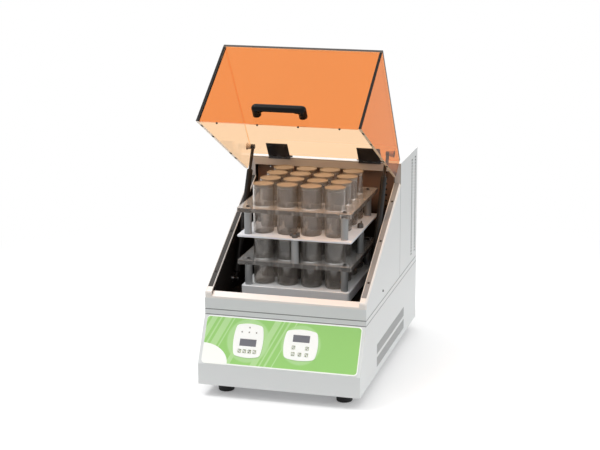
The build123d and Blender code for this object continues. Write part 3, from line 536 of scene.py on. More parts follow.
class Pen:
    """Short ways to write nodes in one tree."""

    def __init__(self, tree: bpy.types.NodeTree) -> None:
        """Opens the pen on a tree."""
        self.tree = tree

    def node(self, kind: str, **settings: object) -> bpy.types.Node:
        """A new node.

        Args:
            kind: Blender's name for it.
            **settings: Settings to change.

        Returns:
            The node.
        """
        made = self.tree.nodes.new(kind)
        for key, value in settings.items():
            setattr(made, key, value)
        return made

    def feed(self, socket: Socket, value: object) -> None:
        """Links an input, or sets it to a constant.

        Args:
            socket: The input.
            value: A socket, a number, a vector or a colour.
        """
        if isinstance(value, bpy.types.NodeSocket):
            self.tree.links.new(value, socket)
        elif isinstance(value, tuple) and len(value) == 3 and socket.type == "RGBA":
            socket.default_value = (*value, 1.0)
        else:
            socket.default_value = value

    def fill(self, node: bpy.types.Node, **values: object) -> bpy.types.Node:
        """Feeds some of a node's inputs.

        Args:
            node: The node.
            **values: Values by the inputs' names, with underscores for blanks.

        Returns:
            The node.
        """
        for key, value in values.items():
            self.feed(node.inputs[key.replace("_", " ")], value)
        return node

    def row(self, node: bpy.types.Node, *values: object) -> bpy.types.Node:
        """Feeds a node's inputs in their order.

        Args:
            node: The node.
            *values: A value for each of its first inputs.

        Returns:
            The node.
        """
        for socket, value in zip(node.inputs, values):
            self.feed(socket, value)
        return node

    def math(self, operation: str, *values: object, clamp: bool = False) -> Socket:
        """One math step.

        Args:
            operation: Blender's name for it.
            *values: Sockets or numbers.
            clamp: Whether the result is kept from 0 to 1.

        Returns:
            The result.
        """
        made = self.node("ShaderNodeMath", operation=operation, use_clamp=clamp)
        return self.row(made, *values).outputs[0]

    def vector(self, operation: str, *values: object) -> Socket:
        """One vector step.

        Args:
            operation: Blender's name for it.
            *values: Sockets or vectors.

        Returns:
            The result, which is a number for lengths and dot products.
        """
        made = self.row(self.node("ShaderNodeVectorMath", operation=operation), *values)
        return made.outputs["Value" if operation in ("DOT_PRODUCT", "LENGTH") else "Vector"]

    def less(self, value: object, other: object) -> Socket:
        """The first value less the second."""
        return self.math("SUBTRACT", value, other)

    def every(self, *shares: object) -> object:
        """Product of several shares: 1 only where all of them are 1."""
        return reduce(lambda total, share: self.math("MULTIPLY", total, share), shares)

    def length(self, first: Socket, second: Socket) -> Socket:
        """Length of two sides of a right angle."""
        square = self.math("ADD", self.every(first, first), self.every(second, second))
        return self.math("SQRT", square)

    def place(self) -> Socket:
        """The point's place in the machine."""
        return self.node("ShaderNodeTexCoord").outputs["Object"]

    def noise(self, place: Socket, scale: object, detail: float) -> Socket:
        """Soft noise from 0 to 1."""
        made = self.node("ShaderNodeTexNoise")
        return self.fill(made, Vector=place, Scale=scale, Detail=detail).outputs["Fac"]

    def stretch(self, place: Socket, scale: Sequence[float]) -> Socket:
        """The place with its axes stretched, so that a pattern runs along one of them."""
        made = self.node("ShaderNodeMapping")
        return self.fill(made, Vector=place, Scale=tuple(scale)).outputs["Vector"]

    def blend(self, share: object, first: object, second: object) -> Socket:
        """Mix of two colours.

        Args:
            share: How much of the second shows, from 0 to 1.
            first: The first colour.
            second: The second colour.

        Returns:
            The mixed colour.
        """
        made = self.node("ShaderNodeMix", data_type="RGBA")
        colours = [socket for socket in made.inputs if socket.type == "RGBA"]
        for socket, value in zip((made.inputs[0], *colours), (share, first, second)):
            self.feed(socket, value)
        return next(socket for socket in made.outputs if socket.type == "RGBA")

    def range(self, value: Socket, low: float, high: float, to: tuple = (0.0, 1.0)) -> Socket:
        """Smooth step from low to high, mapped onto two values."""
        made = self.node("ShaderNodeMapRange", interpolation_type="SMOOTHSTEP")
        return self.row(made, value, low, high, *to).outputs[0]

    def band(self, value: Socket, centre: float, half: float, soft: float) -> Socket:
        """1 where a value is within half of the centre, fading over soft."""
        return self.range(
            self.math("ABSOLUTE", self.less(value, centre)), half + soft, half
        )

    def between(self, value: Socket, low: float, high: float, soft: float = 0.2 * MM) -> Socket:
        """1 where a value lies between two others."""
        return self.every(
            self.range(value, low - soft, low + soft), self.range(value, high + soft, high - soft)
        )

    def split(self, place: Socket) -> tuple[Socket, Socket, Socket]:
        """The three coordinates of a place."""
        x, y, z = self.row(self.node("ShaderNodeSeparateXYZ"), place).outputs
        return x, y, z

    def halves(self, place: Socket) -> tuple[Socket, Socket, Socket]:
        """The three coordinates of a place, x without its sign."""
        x, y, z = self.split(place)
        return self.math("ABSOLUTE", x), y, z

    def bump(self, height: Socket, distance: float) -> Socket:
        """Normal from a height."""
        made = self.node("ShaderNodeBump")
        return self.fill(made, Strength=1.0, Distance=distance, Height=height).outputs["Normal"]

    def white_rays(self) -> Socket:
        """Finds the rays that are shown plain white.

        Returns:
            1 for the camera's rays and for those off gloss or through glass.
        """
        path = self.node("ShaderNodeLightPath").outputs
        bounced = self.math("MAXIMUM", path["Is Glossy Ray"], path["Is Transmission Ray"])
        return self.math("MAXIMUM", path["Is Camera Ray"], bounced)

    def group(self, group: bpy.types.NodeTree, **values: object) -> bpy.types.Node:
        """A shared effect, placed with its values."""
        return self.fill(self.node("ShaderNodeGroup", node_tree=group), **values)


NUMBER = "NodeSocketFloat"
PLACE = ("Place", "NodeSocketVector", None)


class Effects:
    """Effects that several finishes share, each a node group built once."""

    grain_detail: float = 2.0
    coarse_scale: float = 0.22
    coarse_share: float = 0.6
    drift_detail: float = 4.0
    wear_gain: float = 3.0
    line_detail: float = 5.0
    line_mask: tuple[float, float] = (0.35, 0.65)

    def __init__(self) -> None:
        """Builds all of them."""
        self.grain = self.build_grain()
        self.drift = self.build_drift()
        self.brush = self.build_brush()

    @staticmethod
    def start(
        name: str, inputs: Sequence[tuple[str, str, object]], outputs: Sequence[tuple[str, str]]
    ) -> tuple[bpy.types.NodeTree, Pen, bpy.types.Node, bpy.types.Node]:
        """A new group with its sockets.

        Args:
            name: The group's name.
            inputs: Name, kind and default of each input.
            outputs: Name and kind of each output.

        Returns:
            The group, a pen on it, its input node and its output node.
        """
        tree = bpy.data.node_groups.new(name, "ShaderNodeTree")
        for label, kind, value in inputs:
            socket = tree.interface.new_socket(label, in_out="INPUT", socket_type=kind)
            if value is not None:
                socket.default_value = value
        for label, kind in outputs:
            tree.interface.new_socket(label, in_out="OUTPUT", socket_type=kind)
        pen = Pen(tree)
        return tree, pen, pen.node("NodeGroupInput"), pen.node("NodeGroupOutput")

    def build_grain(self) -> bpy.types.NodeTree:
        """Fine grain of paint and moulded plastic, in two octaves.

        Returns:
            The group, whose Height feeds a bump.
        """
        tree, pen, given, result = self.start(
            "fine_grain", [PLACE, ("Scale", NUMBER, 900.0)], [("Height", NUMBER)]
        )
        place, scale = given.outputs[:2]
        fine = pen.noise(place, scale, self.grain_detail)
        coarse = pen.noise(place, pen.every(scale, self.coarse_scale), self.grain_detail)
        pen.fill(result, Height=pen.math("MULTIPLY_ADD", coarse, self.coarse_share, fine))
        return tree

    def build_drift(self) -> bpy.types.NodeTree:
        """Slow change of tone and roughness over a surface, as from handling.

        Returns:
            The group, whose Colour and Roughness follow the ones that go in.
        """
        tree, pen, given, result = self.start(
            "tone_drift",
            [PLACE, ("Colour", "NodeSocketColor", None), ("Scale", NUMBER, 6.0),
             ("Amount", NUMBER, 0.04), ("Roughness", NUMBER, 0.5)],
            [("Colour", "NodeSocketColor"), ("Roughness", NUMBER)],
        )
        place, colour, scale, amount, roughness = given.outputs[:5]
        slow = pen.noise(place, scale, self.drift_detail)
        centred = pen.math("MULTIPLY_ADD", slow, 2.0, -1.0)
        gain = pen.math("MULTIPLY_ADD", centred, amount, 1.0)
        wear = pen.math("MULTIPLY_ADD", centred, pen.every(amount, self.wear_gain), 1.0)
        pen.fill(
            result, Colour=pen.vector("MULTIPLY", colour, self.triple(pen, gain)),
            Roughness=pen.math("MULTIPLY", roughness, wear, clamp=True),
        )
        return tree

    @staticmethod
    def triple(pen: Pen, value: Socket) -> Socket:
        """One number as all three channels."""
        return pen.row(pen.node("ShaderNodeCombineXYZ"), value, value, value).outputs[0]

    def build_brush(self) -> bpy.types.NodeTree:
        """Brushed lines, drawn out along the axis that the caller has stretched.

        Returns:
            The group, with the lines' Height and a Mask of them.
        """
        tree, pen, given, result = self.start(
            "brushed_lines", [PLACE, ("Scale", NUMBER, 400.0)],
            [("Height", NUMBER), ("Mask", NUMBER)],
        )
        lines = pen.noise(*given.outputs[:2], self.line_detail)
        pen.fill(result, Height=lines, Mask=pen.range(lines, *self.line_mask))
        return tree


EFFECTS = Effects()


def new_material(name: str) -> tuple[bpy.types.Material, Pen, bpy.types.Node, bpy.types.Node]:
    """An empty node material.

    Args:
        name: Its name.

    Returns:
        The material, a pen on its tree, its Principled shader and its output.
    """
    made = bpy.data.materials.new(name)
    made.use_nodes = True
    pen = Pen(made.node_tree)
    nodes = made.node_tree.nodes
    return made, pen, nodes["Principled BSDF"], nodes["Material Output"]


@dataclass(frozen=True)
class Finish:
    """What every finish has: a name, a main colour, and a chance to draw on it."""

    name: str
    colour: Colour

    def tint(self, pen: Pen, place: Socket, colour: Socket) -> Socket:
        """The colour after what a finish draws on it; plain here."""
        return colour

    def begin(self, roughness: float, scale: float, amount: float) -> tuple[
        bpy.types.Material, Pen, bpy.types.Node, bpy.types.Node, Socket, Socket
    ]:
        """Starts the material with its colour and roughness.

        Args:
            roughness: Its roughness.
            scale: Scale of the slow drift of tone.
            amount: Strength of that drift.

        Returns:
            The material, a pen on its tree, its shader, its output, the point's place and the
            drifted roughness.
        """
        made, pen, shader, output = new_material(self.name)
        place = pen.place()
        drift = pen.group(
            EFFECTS.drift, Place=place, Colour=self.colour, Scale=scale, Amount=amount,
            Roughness=roughness,
        ).outputs
        pen.fill(
            shader, Base_Color=self.tint(pen, place, drift["Colour"]), Roughness=drift["Roughness"]
        )
        return made, pen, shader, output, place, drift["Roughness"]


@dataclass(frozen=True)
class Solid(Finish):
    """An opaque finish with fine grain and a slow drift of tone."""

    roughness: float = 0.5
    metallic: float = 0.0
    coat: float = 0.0
    grain_scale: float = 900.0
    grain_depth: float = 0.05 * MM
    drift_scale: float = 5.0
    drift_amount: float = 0.03
    shine: float = 0.5
    coat_roughness: float = 0.12

    def build(self) -> bpy.types.Material:
        """Builds the finish.

        Returns:
            Its material.
        """
        made, pen, shader, _, place, _ = self.begin(
            self.roughness, self.drift_scale, self.drift_amount
        )
        grain = pen.group(EFFECTS.grain, Place=place, Scale=self.grain_scale)
        pen.fill(
            shader, Normal=pen.bump(grain.outputs["Height"], self.grain_depth),
            Metallic=self.metallic, Coat_Weight=self.coat, Coat_Roughness=self.coat_roughness,
            Specular_IOR_Level=self.shine,
        )
        return made


@dataclass(frozen=True)
class Brushed(Finish):
    """A metal with brushed lines along one axis."""

    roughness: float = 0.3
    metallic: float = 1.0
    along: tuple[float, float, float] = (0.03, 1.0, 1.0)
    line_scale: float = 700.0
    line_depth: float = 0.02 * MM
    line_roughness: float = 0.08
    shine: float = 0.5
    drift_scale: float = 7.0
    drift_amount: float = 0.05

    def build(self) -> bpy.types.Material:
        """Builds the finish.

        Returns:
            Its material.
        """
        made, pen, shader, _, place, rough = self.begin(
            self.roughness, self.drift_scale, self.drift_amount
        )
        lines = pen.group(
            EFFECTS.brush, Place=pen.stretch(place, self.along), Scale=self.line_scale
        ).outputs
        pen.fill(
            shader, Roughness=pen.math("MULTIPLY_ADD", lines["Mask"], self.line_roughness, rough),
            Normal=pen.bump(lines["Height"], self.line_depth), Metallic=self.metallic,
            Specular_IOR_Level=self.shine,
        )
        return made


@dataclass(frozen=True)
class Clear(Finish):
    """A see-through sheet or moulding, which lets lamps through with its own tint."""

    roughness: float = 0.0
    index: float = 1.49
    clarity: float = 1.0
    cloud: float = 0.01
    shadow: Colour = (0.9, 0.9, 0.9)
    cloud_scale: float = 4.0

    def build(self) -> bpy.types.Material:
        """Builds the finish.

        Returns:
            Its material.
        """
        made, pen, shader, output, _, _ = self.begin(self.roughness, self.cloud_scale, self.cloud)
        pen.fill(shader, Transmission_Weight=self.clarity, IOR=self.index)
        passing = pen.fill(pen.node("ShaderNodeBsdfTransparent"), Color=self.shadow)
        mixed = pen.row(
            pen.node("ShaderNodeMixShader"),
            pen.node("ShaderNodeLightPath").outputs["Is Shadow Ray"],
            shader.outputs["BSDF"], passing.outputs["BSDF"],
        )
        pen.fill(output, Surface=mixed.outputs["Shader"])
        return made


@dataclass(frozen=True)
class RimSteel(Brushed):
    """The rim's sheet: pale in front and on the folds as a painted highlight, darker on the sloping
    sides, with painted shade on the left.
    """

    side: Colour = srgb(134, 136, 138)
    # painted shade: the left side is drawn darker than the right
    left_painted_shade: Colour = srgb(44, 41, 38)
    inner_fold: float = 184.4 * MM
    outer_fold: float = 196.4 * MM
    front_end: float = -245.5 * MM

    def tint(self, pen: Pen, place: Socket, colour: Socket) -> Socket:
        """Darkens the sloping sides, the left one more as painted shade.

        Args:
            pen: Writes the nodes.
            place: The point's place.
            colour: The plain colour.

        Returns:
            The colour with it.
        """
        across, deep, _ = pen.halves(place)
        # the folds outside this band keep the pale colour as a painted highlight
        side = pen.every(
            pen.between(across, self.inner_fold, self.outer_fold),
            pen.range(deep, self.front_end, self.front_end + MM),
        )
        # painted shade, darkening the sloping sides from right to left
        shaded = pen.range(pen.split(place)[0], self.inner_fold, -self.inner_fold)
        return pen.blend(side, colour, pen.blend(shaded, self.side, self.left_painted_shade))


@dataclass(frozen=True)
class PaintedSteel(Solid):
    """Painted sheet with dark joints, a darker apron, slotted fields and inside darkened as painted
    shade, and a painted highlight under the sloping edge.
    """

    joint: Colour = srgb(146, 148, 148)
    # painted shade of the slotted fields, painted highlight under the sloping edge, the apron's
    # grey, painted shade of the inside
    louvre_painted_shade: Colour = srgb(180, 182, 182)
    fold_painted_highlight: Colour = srgb(250, 244, 238)
    plain_patch: Colour = srgb(188, 190, 192)
    inside: Colour = srgb(34, 34, 35)
    joint_levels: tuple[float, float] = (188.2 * MM, 201.5 * MM)
    joint_half: float = 0.9 * MM
    joint_soft: float = 0.4 * MM
    rear_joint: float = 112.7 * MM
    louvre_levels: tuple[tuple[float, float], ...] = (
        (46.9 * MM, 71.5 * MM), (79.9 * MM, 104.5 * MM)
    )
    louvre_span: tuple[float, float] = (-144.8 * MM, 168.6 * MM)
    half_width: float = 200.0 * MM
    sheet: float = 0.8 * MM
    rear_y: float = 321.2 * MM
    top_z: float = 499.3 * MM
    slope: float = 0.5452
    slope_foot: tuple[float, float] = (-260.7 * MM, 244.4 * MM)
    fold_span: tuple[float, float] = (-3.0 * MM, 7.0 * MM)
    fold_soft: float = 0.5 * MM
    fold_share: float = 0.8
    apron_span: tuple[float, float] = (-4.0 * MM, 1.2 * MM)
    apron_drop: float = 2.5 * MM
    inside_gap: tuple[float, float] = (2.0 * MM, 4.0 * MM)

    def tint(self, pen: Pen, place: Socket, colour: Socket) -> Socket:
        """Draws the sheet's joints and apron, and its painted shade and painted highlight.

        Args:
            pen: Writes the nodes.
            place: The point's place.
            colour: The plain colour.

        Returns:
            The colour with it.
        """
        across, deep, high = pen.halves(place)
        skin, core = self.half_width - self.sheet, self.half_width - 2 * self.sheet
        belt, rear = self.joint_levels[1], self.rear_joint
        outer, inner = pen.range(across, core, skin), pen.range(across, skin, core)
        # painted highlight: a pale band just under the sloping top edge of the sides
        run = pen.less(deep, self.slope_foot[0])
        below = pen.less(pen.math("MULTIPLY_ADD", run, self.slope, self.slope_foot[1]), high)
        fold_painted_highlight = pen.every(
            outer, pen.between(below, *self.fold_span, self.fold_soft),
            pen.range(deep, rear, rear - MM), self.fold_share,
        )
        fields = [(fold_painted_highlight, self.fold_painted_highlight)]
        # painted shade: the slotted fields are greyed for the shade in their slots
        for levels in self.louvre_levels:
            span = pen.between(deep, *self.louvre_span)
            fields.append((pen.every(outer, span, pen.between(high, *levels)), self.louvre_painted_shade))
        for level in self.joint_levels:
            fields.append((pen.band(high, level, self.joint_half, self.joint_soft), self.joint))
        upright = pen.band(deep, rear, self.joint_half, self.joint_soft)
        fields.append((pen.every(upright, pen.range(high, belt, belt + MM)), self.joint))
        # the apron over the chamber mouth is painted a darker grey
        apron = pen.every(
            inner, pen.between(deep, *(rear + reach for reach in self.apron_span)),
            pen.between(high, belt, self.top_z - self.apron_drop),
        )
        # painted shade: the cover's inside faces, seen through the vents, are painted near black
        painted_shade_inside = pen.every(
            pen.range(across, self.half_width - 0.5 * self.sheet, skin),
            pen.between(deep, rear + self.inside_gap[0], self.rear_y - self.sheet),
            pen.between(high, belt + self.inside_gap[1], self.top_z - self.sheet),
        )
        for share, paint in (*fields, (apron, self.plain_patch), (painted_shade_inside, self.inside)):
            colour = pen.blend(share, colour, paint)
        return colour


@dataclass(frozen=True)
class LinerSheet(Brushed):
    """The chamber's dark sheet, with painted light on the upper rear wall."""

    # painted light on the upper rear wall
    painted_light_wall: Colour = srgb(186, 156, 138)
    wall: tuple[float, float] = (134.0 * MM, 138.0 * MM)
    pale_heights: tuple[float, float] = (350.0 * MM, 455.0 * MM)

    def tint(self, pen: Pen, place: Socket, colour: Socket) -> Socket:
        """Draws the painted light on the upper rear wall.

        Args:
            pen: Writes the nodes.
            place: The point's place.
            colour: The plain colour.

        Returns:
            The colour with it.
        """
        _, deep, high = pen.split(place)
        # painted light: the upper rear wall is drawn paler and warmer, as if lit through the lid
        share = pen.every(pen.range(deep, *self.wall), pen.range(high, *self.pale_heights))
        return pen.blend(share, colour, self.painted_light_wall)


@dataclass(frozen=True)
class RackPlate(Clear):
    """A clear rack plate whose sawn edges are painted darker as painted shade."""

    # painted shade colour of the sawn edges
    edge: Colour = srgb(116, 112, 108)
    edge_reach: tuple[float, float] = (142.5 * MM, 142.6 * MM)
    centre_y: float = -35.0 * MM

    def tint(self, pen: Pen, place: Socket, colour: Socket) -> Socket:
        """Paints the sawn edges darker as painted shade.

        Args:
            pen: Writes the nodes.
            place: The point's place.
            colour: The plain colour.

        Returns:
            The colour with it.
        """
        across, deep, _ = pen.halves(place)
        along = pen.math("ABSOLUTE", pen.less(deep, self.centre_y))
        reach = pen.math("MAXIMUM", across, along)
        # painted shade: the sawn edges are darkened for the dark refraction seen in them
        return pen.blend(pen.range(reach, *self.edge_reach), colour, self.edge)


@dataclass(frozen=True)
class LabelFilm(Solid):
    """The printed film on the fascia: green, a white margin, pale rings and slanting ribbons."""

    margin_white: Colour = srgb(252, 255, 250)
    pale: Colour = srgb(186, 224, 160)
    ring: Colour = srgb(178, 220, 152)
    left: float = -192.2 * MM
    right: float = 190.6 * MM
    low: float = 5.0 * MM
    high: float = 117.6 * MM
    corner: float = 8.0 * MM
    module_height: float = 64.5 * MM
    modules: tuple[tuple[float, float], ...] = ((-82.0 * MM, 53.0 * MM), (48.0 * MM, 48.0 * MM))
    ribbons: tuple[tuple[float, float], ...] = (
        (-0.232, 0.0150), (-0.205, 0.0060), (-0.190, 0.0018), (-0.174, 0.0075), (-0.160, 0.0014),
        (-0.118, 0.0050), (-0.060, 0.0070), (-0.046, 0.0016), (-0.034, 0.0022), (-0.018, 0.0012),
    )
    ribbon_lean: float = math.radians(24)
    bare_corner: tuple[float, float, float] = (-0.1922, 0.005, 0.047)
    bare_stretch: float = 1.36
    bare_soft: float = 0.3 * MM
    ribbon_share: float = 0.75
    ring_share: float = 0.85
    ring_soft: float = 3.0 * MM
    soft: float = 0.4 * MM

    def tint(self, pen: Pen, place: Socket, colour: Socket) -> Socket:
        """Draws the film's print.

        Args:
            pen: Writes the nodes.
            place: The point's place.
            colour: The plain colour.

        Returns:
            The colour with it.
        """
        from_foot = pen.vector("SUBTRACT", place, tuple(FASCIA.foot))
        across, up = (
            pen.vector("DOT_PRODUCT", from_foot, way) for way in ((1.0, 0.0, 0.0), tuple(FASCIA.up))
        )
        lean = (math.cos(self.ribbon_lean), -math.sin(self.ribbon_lean))
        slanted = pen.math("ADD", pen.every(across, lean[0]), pen.every(up, lean[1]))
        for centre, half in self.ribbons:
            stripe = pen.band(slanted, centre, half, self.soft)
            colour = pen.blend(pen.every(stripe, self.ribbon_share), colour, self.pale)
        for x, radius in self.modules:
            reach = self.distance(pen, across, up, x, self.module_height)
            disc = pen.range(reach, radius + self.ring_soft, radius - self.ring_soft)
            colour = pen.blend(pen.every(disc, self.ring_share), colour, self.ring)
        x, s, radius = self.bare_corner
        reach = self.distance(pen, across, up, x, s, self.bare_stretch)
        plain_patch = pen.range(reach, radius + self.bare_soft, radius)
        colour = pen.blend(plain_patch, colour, self.margin_white)
        return pen.blend(self.inside(pen, across, up), self.margin_white, colour)

    @staticmethod
    def distance(
        pen: Pen, across: Socket, up: Socket, x: float, s: float, stretch: float = 1.0
    ) -> Socket:
        """Distance on the film from one of its points.

        Args:
            pen: Writes the nodes.
            across, up: Where the shaded point lies on the film.
            x, s: Where the other point lies.
            stretch: How much less x counts than s.

        Returns:
            The distance.
        """
        return pen.length(pen.math("DIVIDE", pen.less(across, x), stretch), pen.less(up, s))

    def inside(self, pen: Pen, across: Socket, up: Socket) -> Socket:
        """1 inside the rounded frame of the print.

        Args:
            pen: Writes the nodes.
            across, up: Where the shaded point lies on the film.

        Returns:
            The share.
        """
        over = []
        for value, low, high in ((across, self.left, self.right), (up, self.low, self.high)):
            from_middle = pen.math("ABSOLUTE", pen.less(value, (low + high) / 2))
            beyond = pen.less(from_middle, (high - low) / 2 - self.corner)
            over.append(pen.math("MAXIMUM", beyond, 0.0))
        return pen.range(pen.length(*over), self.corner, self.corner - self.soft)


@dataclass(frozen=True)
class DisplayFilter(Solid):
    """Grey display glass over a fine dot grid."""

    dot: Colour = srgb(104, 104, 111)
    pitch: float = 0.8 * MM
    dot_levels: tuple[float, float] = (0.2, 0.6)
    dot_share: float = 0.5

    def tint(self, pen: Pen, place: Socket, colour: Socket) -> Socket:
        """Draws the dot grid.

        Args:
            pen: Writes the nodes.
            place: The point's place.
            colour: The plain colour.

        Returns:
            The colour with it.
        """
        up = pen.vector("DOT_PRODUCT", place, tuple(FASCIA.up))
        waves = [
            pen.math("SINE", pen.every(value, 2 * math.pi / self.pitch))
            for value in (pen.split(place)[0], up)
        ]
        grid = pen.range(pen.every(*waves), *self.dot_levels)
        return pen.blend(pen.every(grid, self.dot_share), colour, self.dot)


class Slot(Enum):
    """The record's material slots, each with its finish."""

    housing_paint = PaintedSteel(
        "housing_paint", srgb(221, 224, 224), 0.45, grain_scale=1400.0,
        grain_depth=0.03 * MM, drift_amount=0.01, shine=0.22,
    )
    rim_metal = RimSteel("rim_metal", srgb(226, 221, 216), 0.4, 0.2, (0.04, 0.6, 0.6))
    base_steel = Brushed("base_steel", srgb(186, 188, 190), 0.45)
    # painted shade: the liner is made near black for the shade inside the chamber
    liner_metal = LinerSheet(
        "liner_metal", srgb(24, 20, 18), 0.6, 0.0, (1.0, 0.03, 0.6), shine=0.12
    )
    screw_black = Solid("screw_black", srgb(44, 40, 38), 0.35, metallic=0.7)
    panel_green = LabelFilm(
        "panel_green", srgb(150, 207, 112), 0.35, coat=0.2, grain_scale=1800.0,
        grain_depth=0.015 * MM, drift_amount=0.01,
    )
    keypad_white = Solid("keypad_white", srgb(252, 254, 251), 0.36, coat=0.2)
    key_grey = Solid("key_grey", srgb(166, 182, 134), 0.45)
    display_dark = DisplayFilter("display_dark", srgb(116, 117, 124), 0.3, coat=0.1, shine=0.3)
    lens_amber = Solid("lens_amber", srgb(150, 148, 140), 0.25, coat=0.5)
    board_green = Solid("board_green", srgb(34, 92, 60), 0.5, drift_amount=0.08)
    module_grey = Brushed("module_grey", srgb(160, 162, 164), 0.4)
    black_plastic = Solid("black_plastic", srgb(30, 30, 31), 0.42, grain_depth=0.12 * MM)
    motor_paint = Solid("motor_paint", srgb(52, 55, 58), 0.5, grain_depth=0.1 * MM)
    belt_rubber = Solid("belt_rubber", srgb(30, 30, 30), 0.8, grain_scale=500.0)
    bearing_iron = Solid("bearing_iron", srgb(92, 92, 94), 0.6, 0.8, grain_depth=0.2 * MM)
    shaft_steel = Brushed("shaft_steel", srgb(190, 190, 192), 0.25, 1.0, (1.0, 1.0, 0.05))
    pulley_aluminium = Brushed("pulley_aluminium", srgb(206, 207, 210), 0.32)
    foot_rubber = Solid(
        "foot_rubber", srgb(22, 22, 23), 0.75, grain_scale=500.0, grain_depth=0.2 * MM
    )
    hinge_black = Solid("hinge_black", srgb(20, 19, 22), 0.38, coat=0.1, grain_depth=0.06 * MM)
    lid_amber = Clear(
        "lid_amber", srgb(255, 216, 176), index=1.12, cloud=0.006, shadow=srgb(255, 232, 208)
    )
    strut_black = Solid("strut_black", srgb(14, 13, 12), 0.5, grain_depth=0.02 * MM, shine=0.25)
    rod_black = Solid("rod_black", srgb(20, 18, 17), 0.4, grain_depth=0.01 * MM, shine=0.3)
    bush_beige = Solid("bush_beige", srgb(176, 164, 150), 0.5, drift_amount=0.06)
    platform_paint = Solid("platform_paint", srgb(232, 234, 236), 0.4, coat=0.1)
    acrylic_clear = RackPlate(
        "acrylic_clear", srgb(218, 217, 215), 0.02, clarity=0.8, shadow=srgb(240, 238, 236)
    )
    plate_white = Solid("plate_white", srgb(226, 232, 240), 0.45)
    post_grey = Brushed("post_grey", srgb(150, 152, 153), 0.42, 0.3, (1.0, 1.0, 0.05))
    knob_grey = Solid("knob_grey", srgb(88, 84, 80), 0.4, metallic=0.6)
    vial_clear = Clear(
        "vial_clear", srgb(224, 220, 216), 0.0, 1.45, 0.94, cloud=0.03, shadow=srgb(240, 238, 236)
    )
    cap_tan = Solid(
        "cap_tan", srgb(142, 135, 124), 0.6, drift_scale=18.0, drift_amount=0.05, shine=0.25
    )


class Finishes:
    """Every finish as a material, made once."""

    def __init__(self) -> None:
        """Builds the materials of all slots and the few that go with them."""
        self.slots = {slot.name: slot.value.build() for slot in Slot}
        # painted shade: the front and right sheets get darker copies of the one amber tint
        self.deep_amber, self.right_amber_painted_shade = (
            Clear(name, colour, index=index, cloud=0.006, shadow=srgb(255, 228, 200)).build()
            for name, colour, index in (
                ("lid_amber_deep", srgb(243, 174, 121), 1.12),
                ("lid_amber_side", srgb(232, 158, 100), 1.06),
            )
        )
        # painted shade and painted light on the lid sheets' clear edges: dark end faces, pale lower
        # edges
        self.edges = [
            Solid("sheet_edge_black", srgb(28, 23, 20), 0.5, shine=0.15).build(),
            Solid("sheet_edge_grey", srgb(82, 76, 72), 0.5, shine=0.2).build(),
            Solid("sheet_edge_pale", srgb(255, 224, 186), 0.3, coat=0.2).build(),
        ]
        self.key_face = Solid("key_face", srgb(252, 254, 250), 0.4).build()
        self.gloss_black = Solid(
            "gloss_black", srgb(5, 5, 6), 0.3, grain_depth=0.0, drift_amount=0.01, shine=0.14
        ).build()

    def dress_nodes(self) -> None:
        """Gives every CAD node the finish of its slot."""
        for row in frame["record"]["subparts"]:
            node = frame["nodes"][row["node"]]
            node.data.materials.clear()
            node.data.materials.append(self.slots[row["material_slot"]])


FACING = 0.5
FLAT = 0.99
TINY = 0.001 * MM


def faces_up(face: bmesh.types.BMFace) -> bool:
    """Whether a face points straight up."""
    return face.normal.z > FLAT


def faces_down(face: bmesh.types.BMFace) -> bool:
    """Whether a face points straight down."""
    return face.normal.z < -FLAT


# ---- lid ---------------------------------------------------------------------------------------
class LidSheet(Enum):
    """The lid's four sheets, by their CAD nodes."""

    TOP = "lid_top"
    FRONT = "lid_front"
    LEFT = "lid_left"
    RIGHT = "lid_right"


class SheetEdge(IntEnum):
    """Numbers of the finishes on a lid sheet's edges, painted shade and painted light; its tint has
    number 0.
    """

    BLACK_EDGE = 1
    GREY_EDGE = 2
    PALE_EDGE = 3


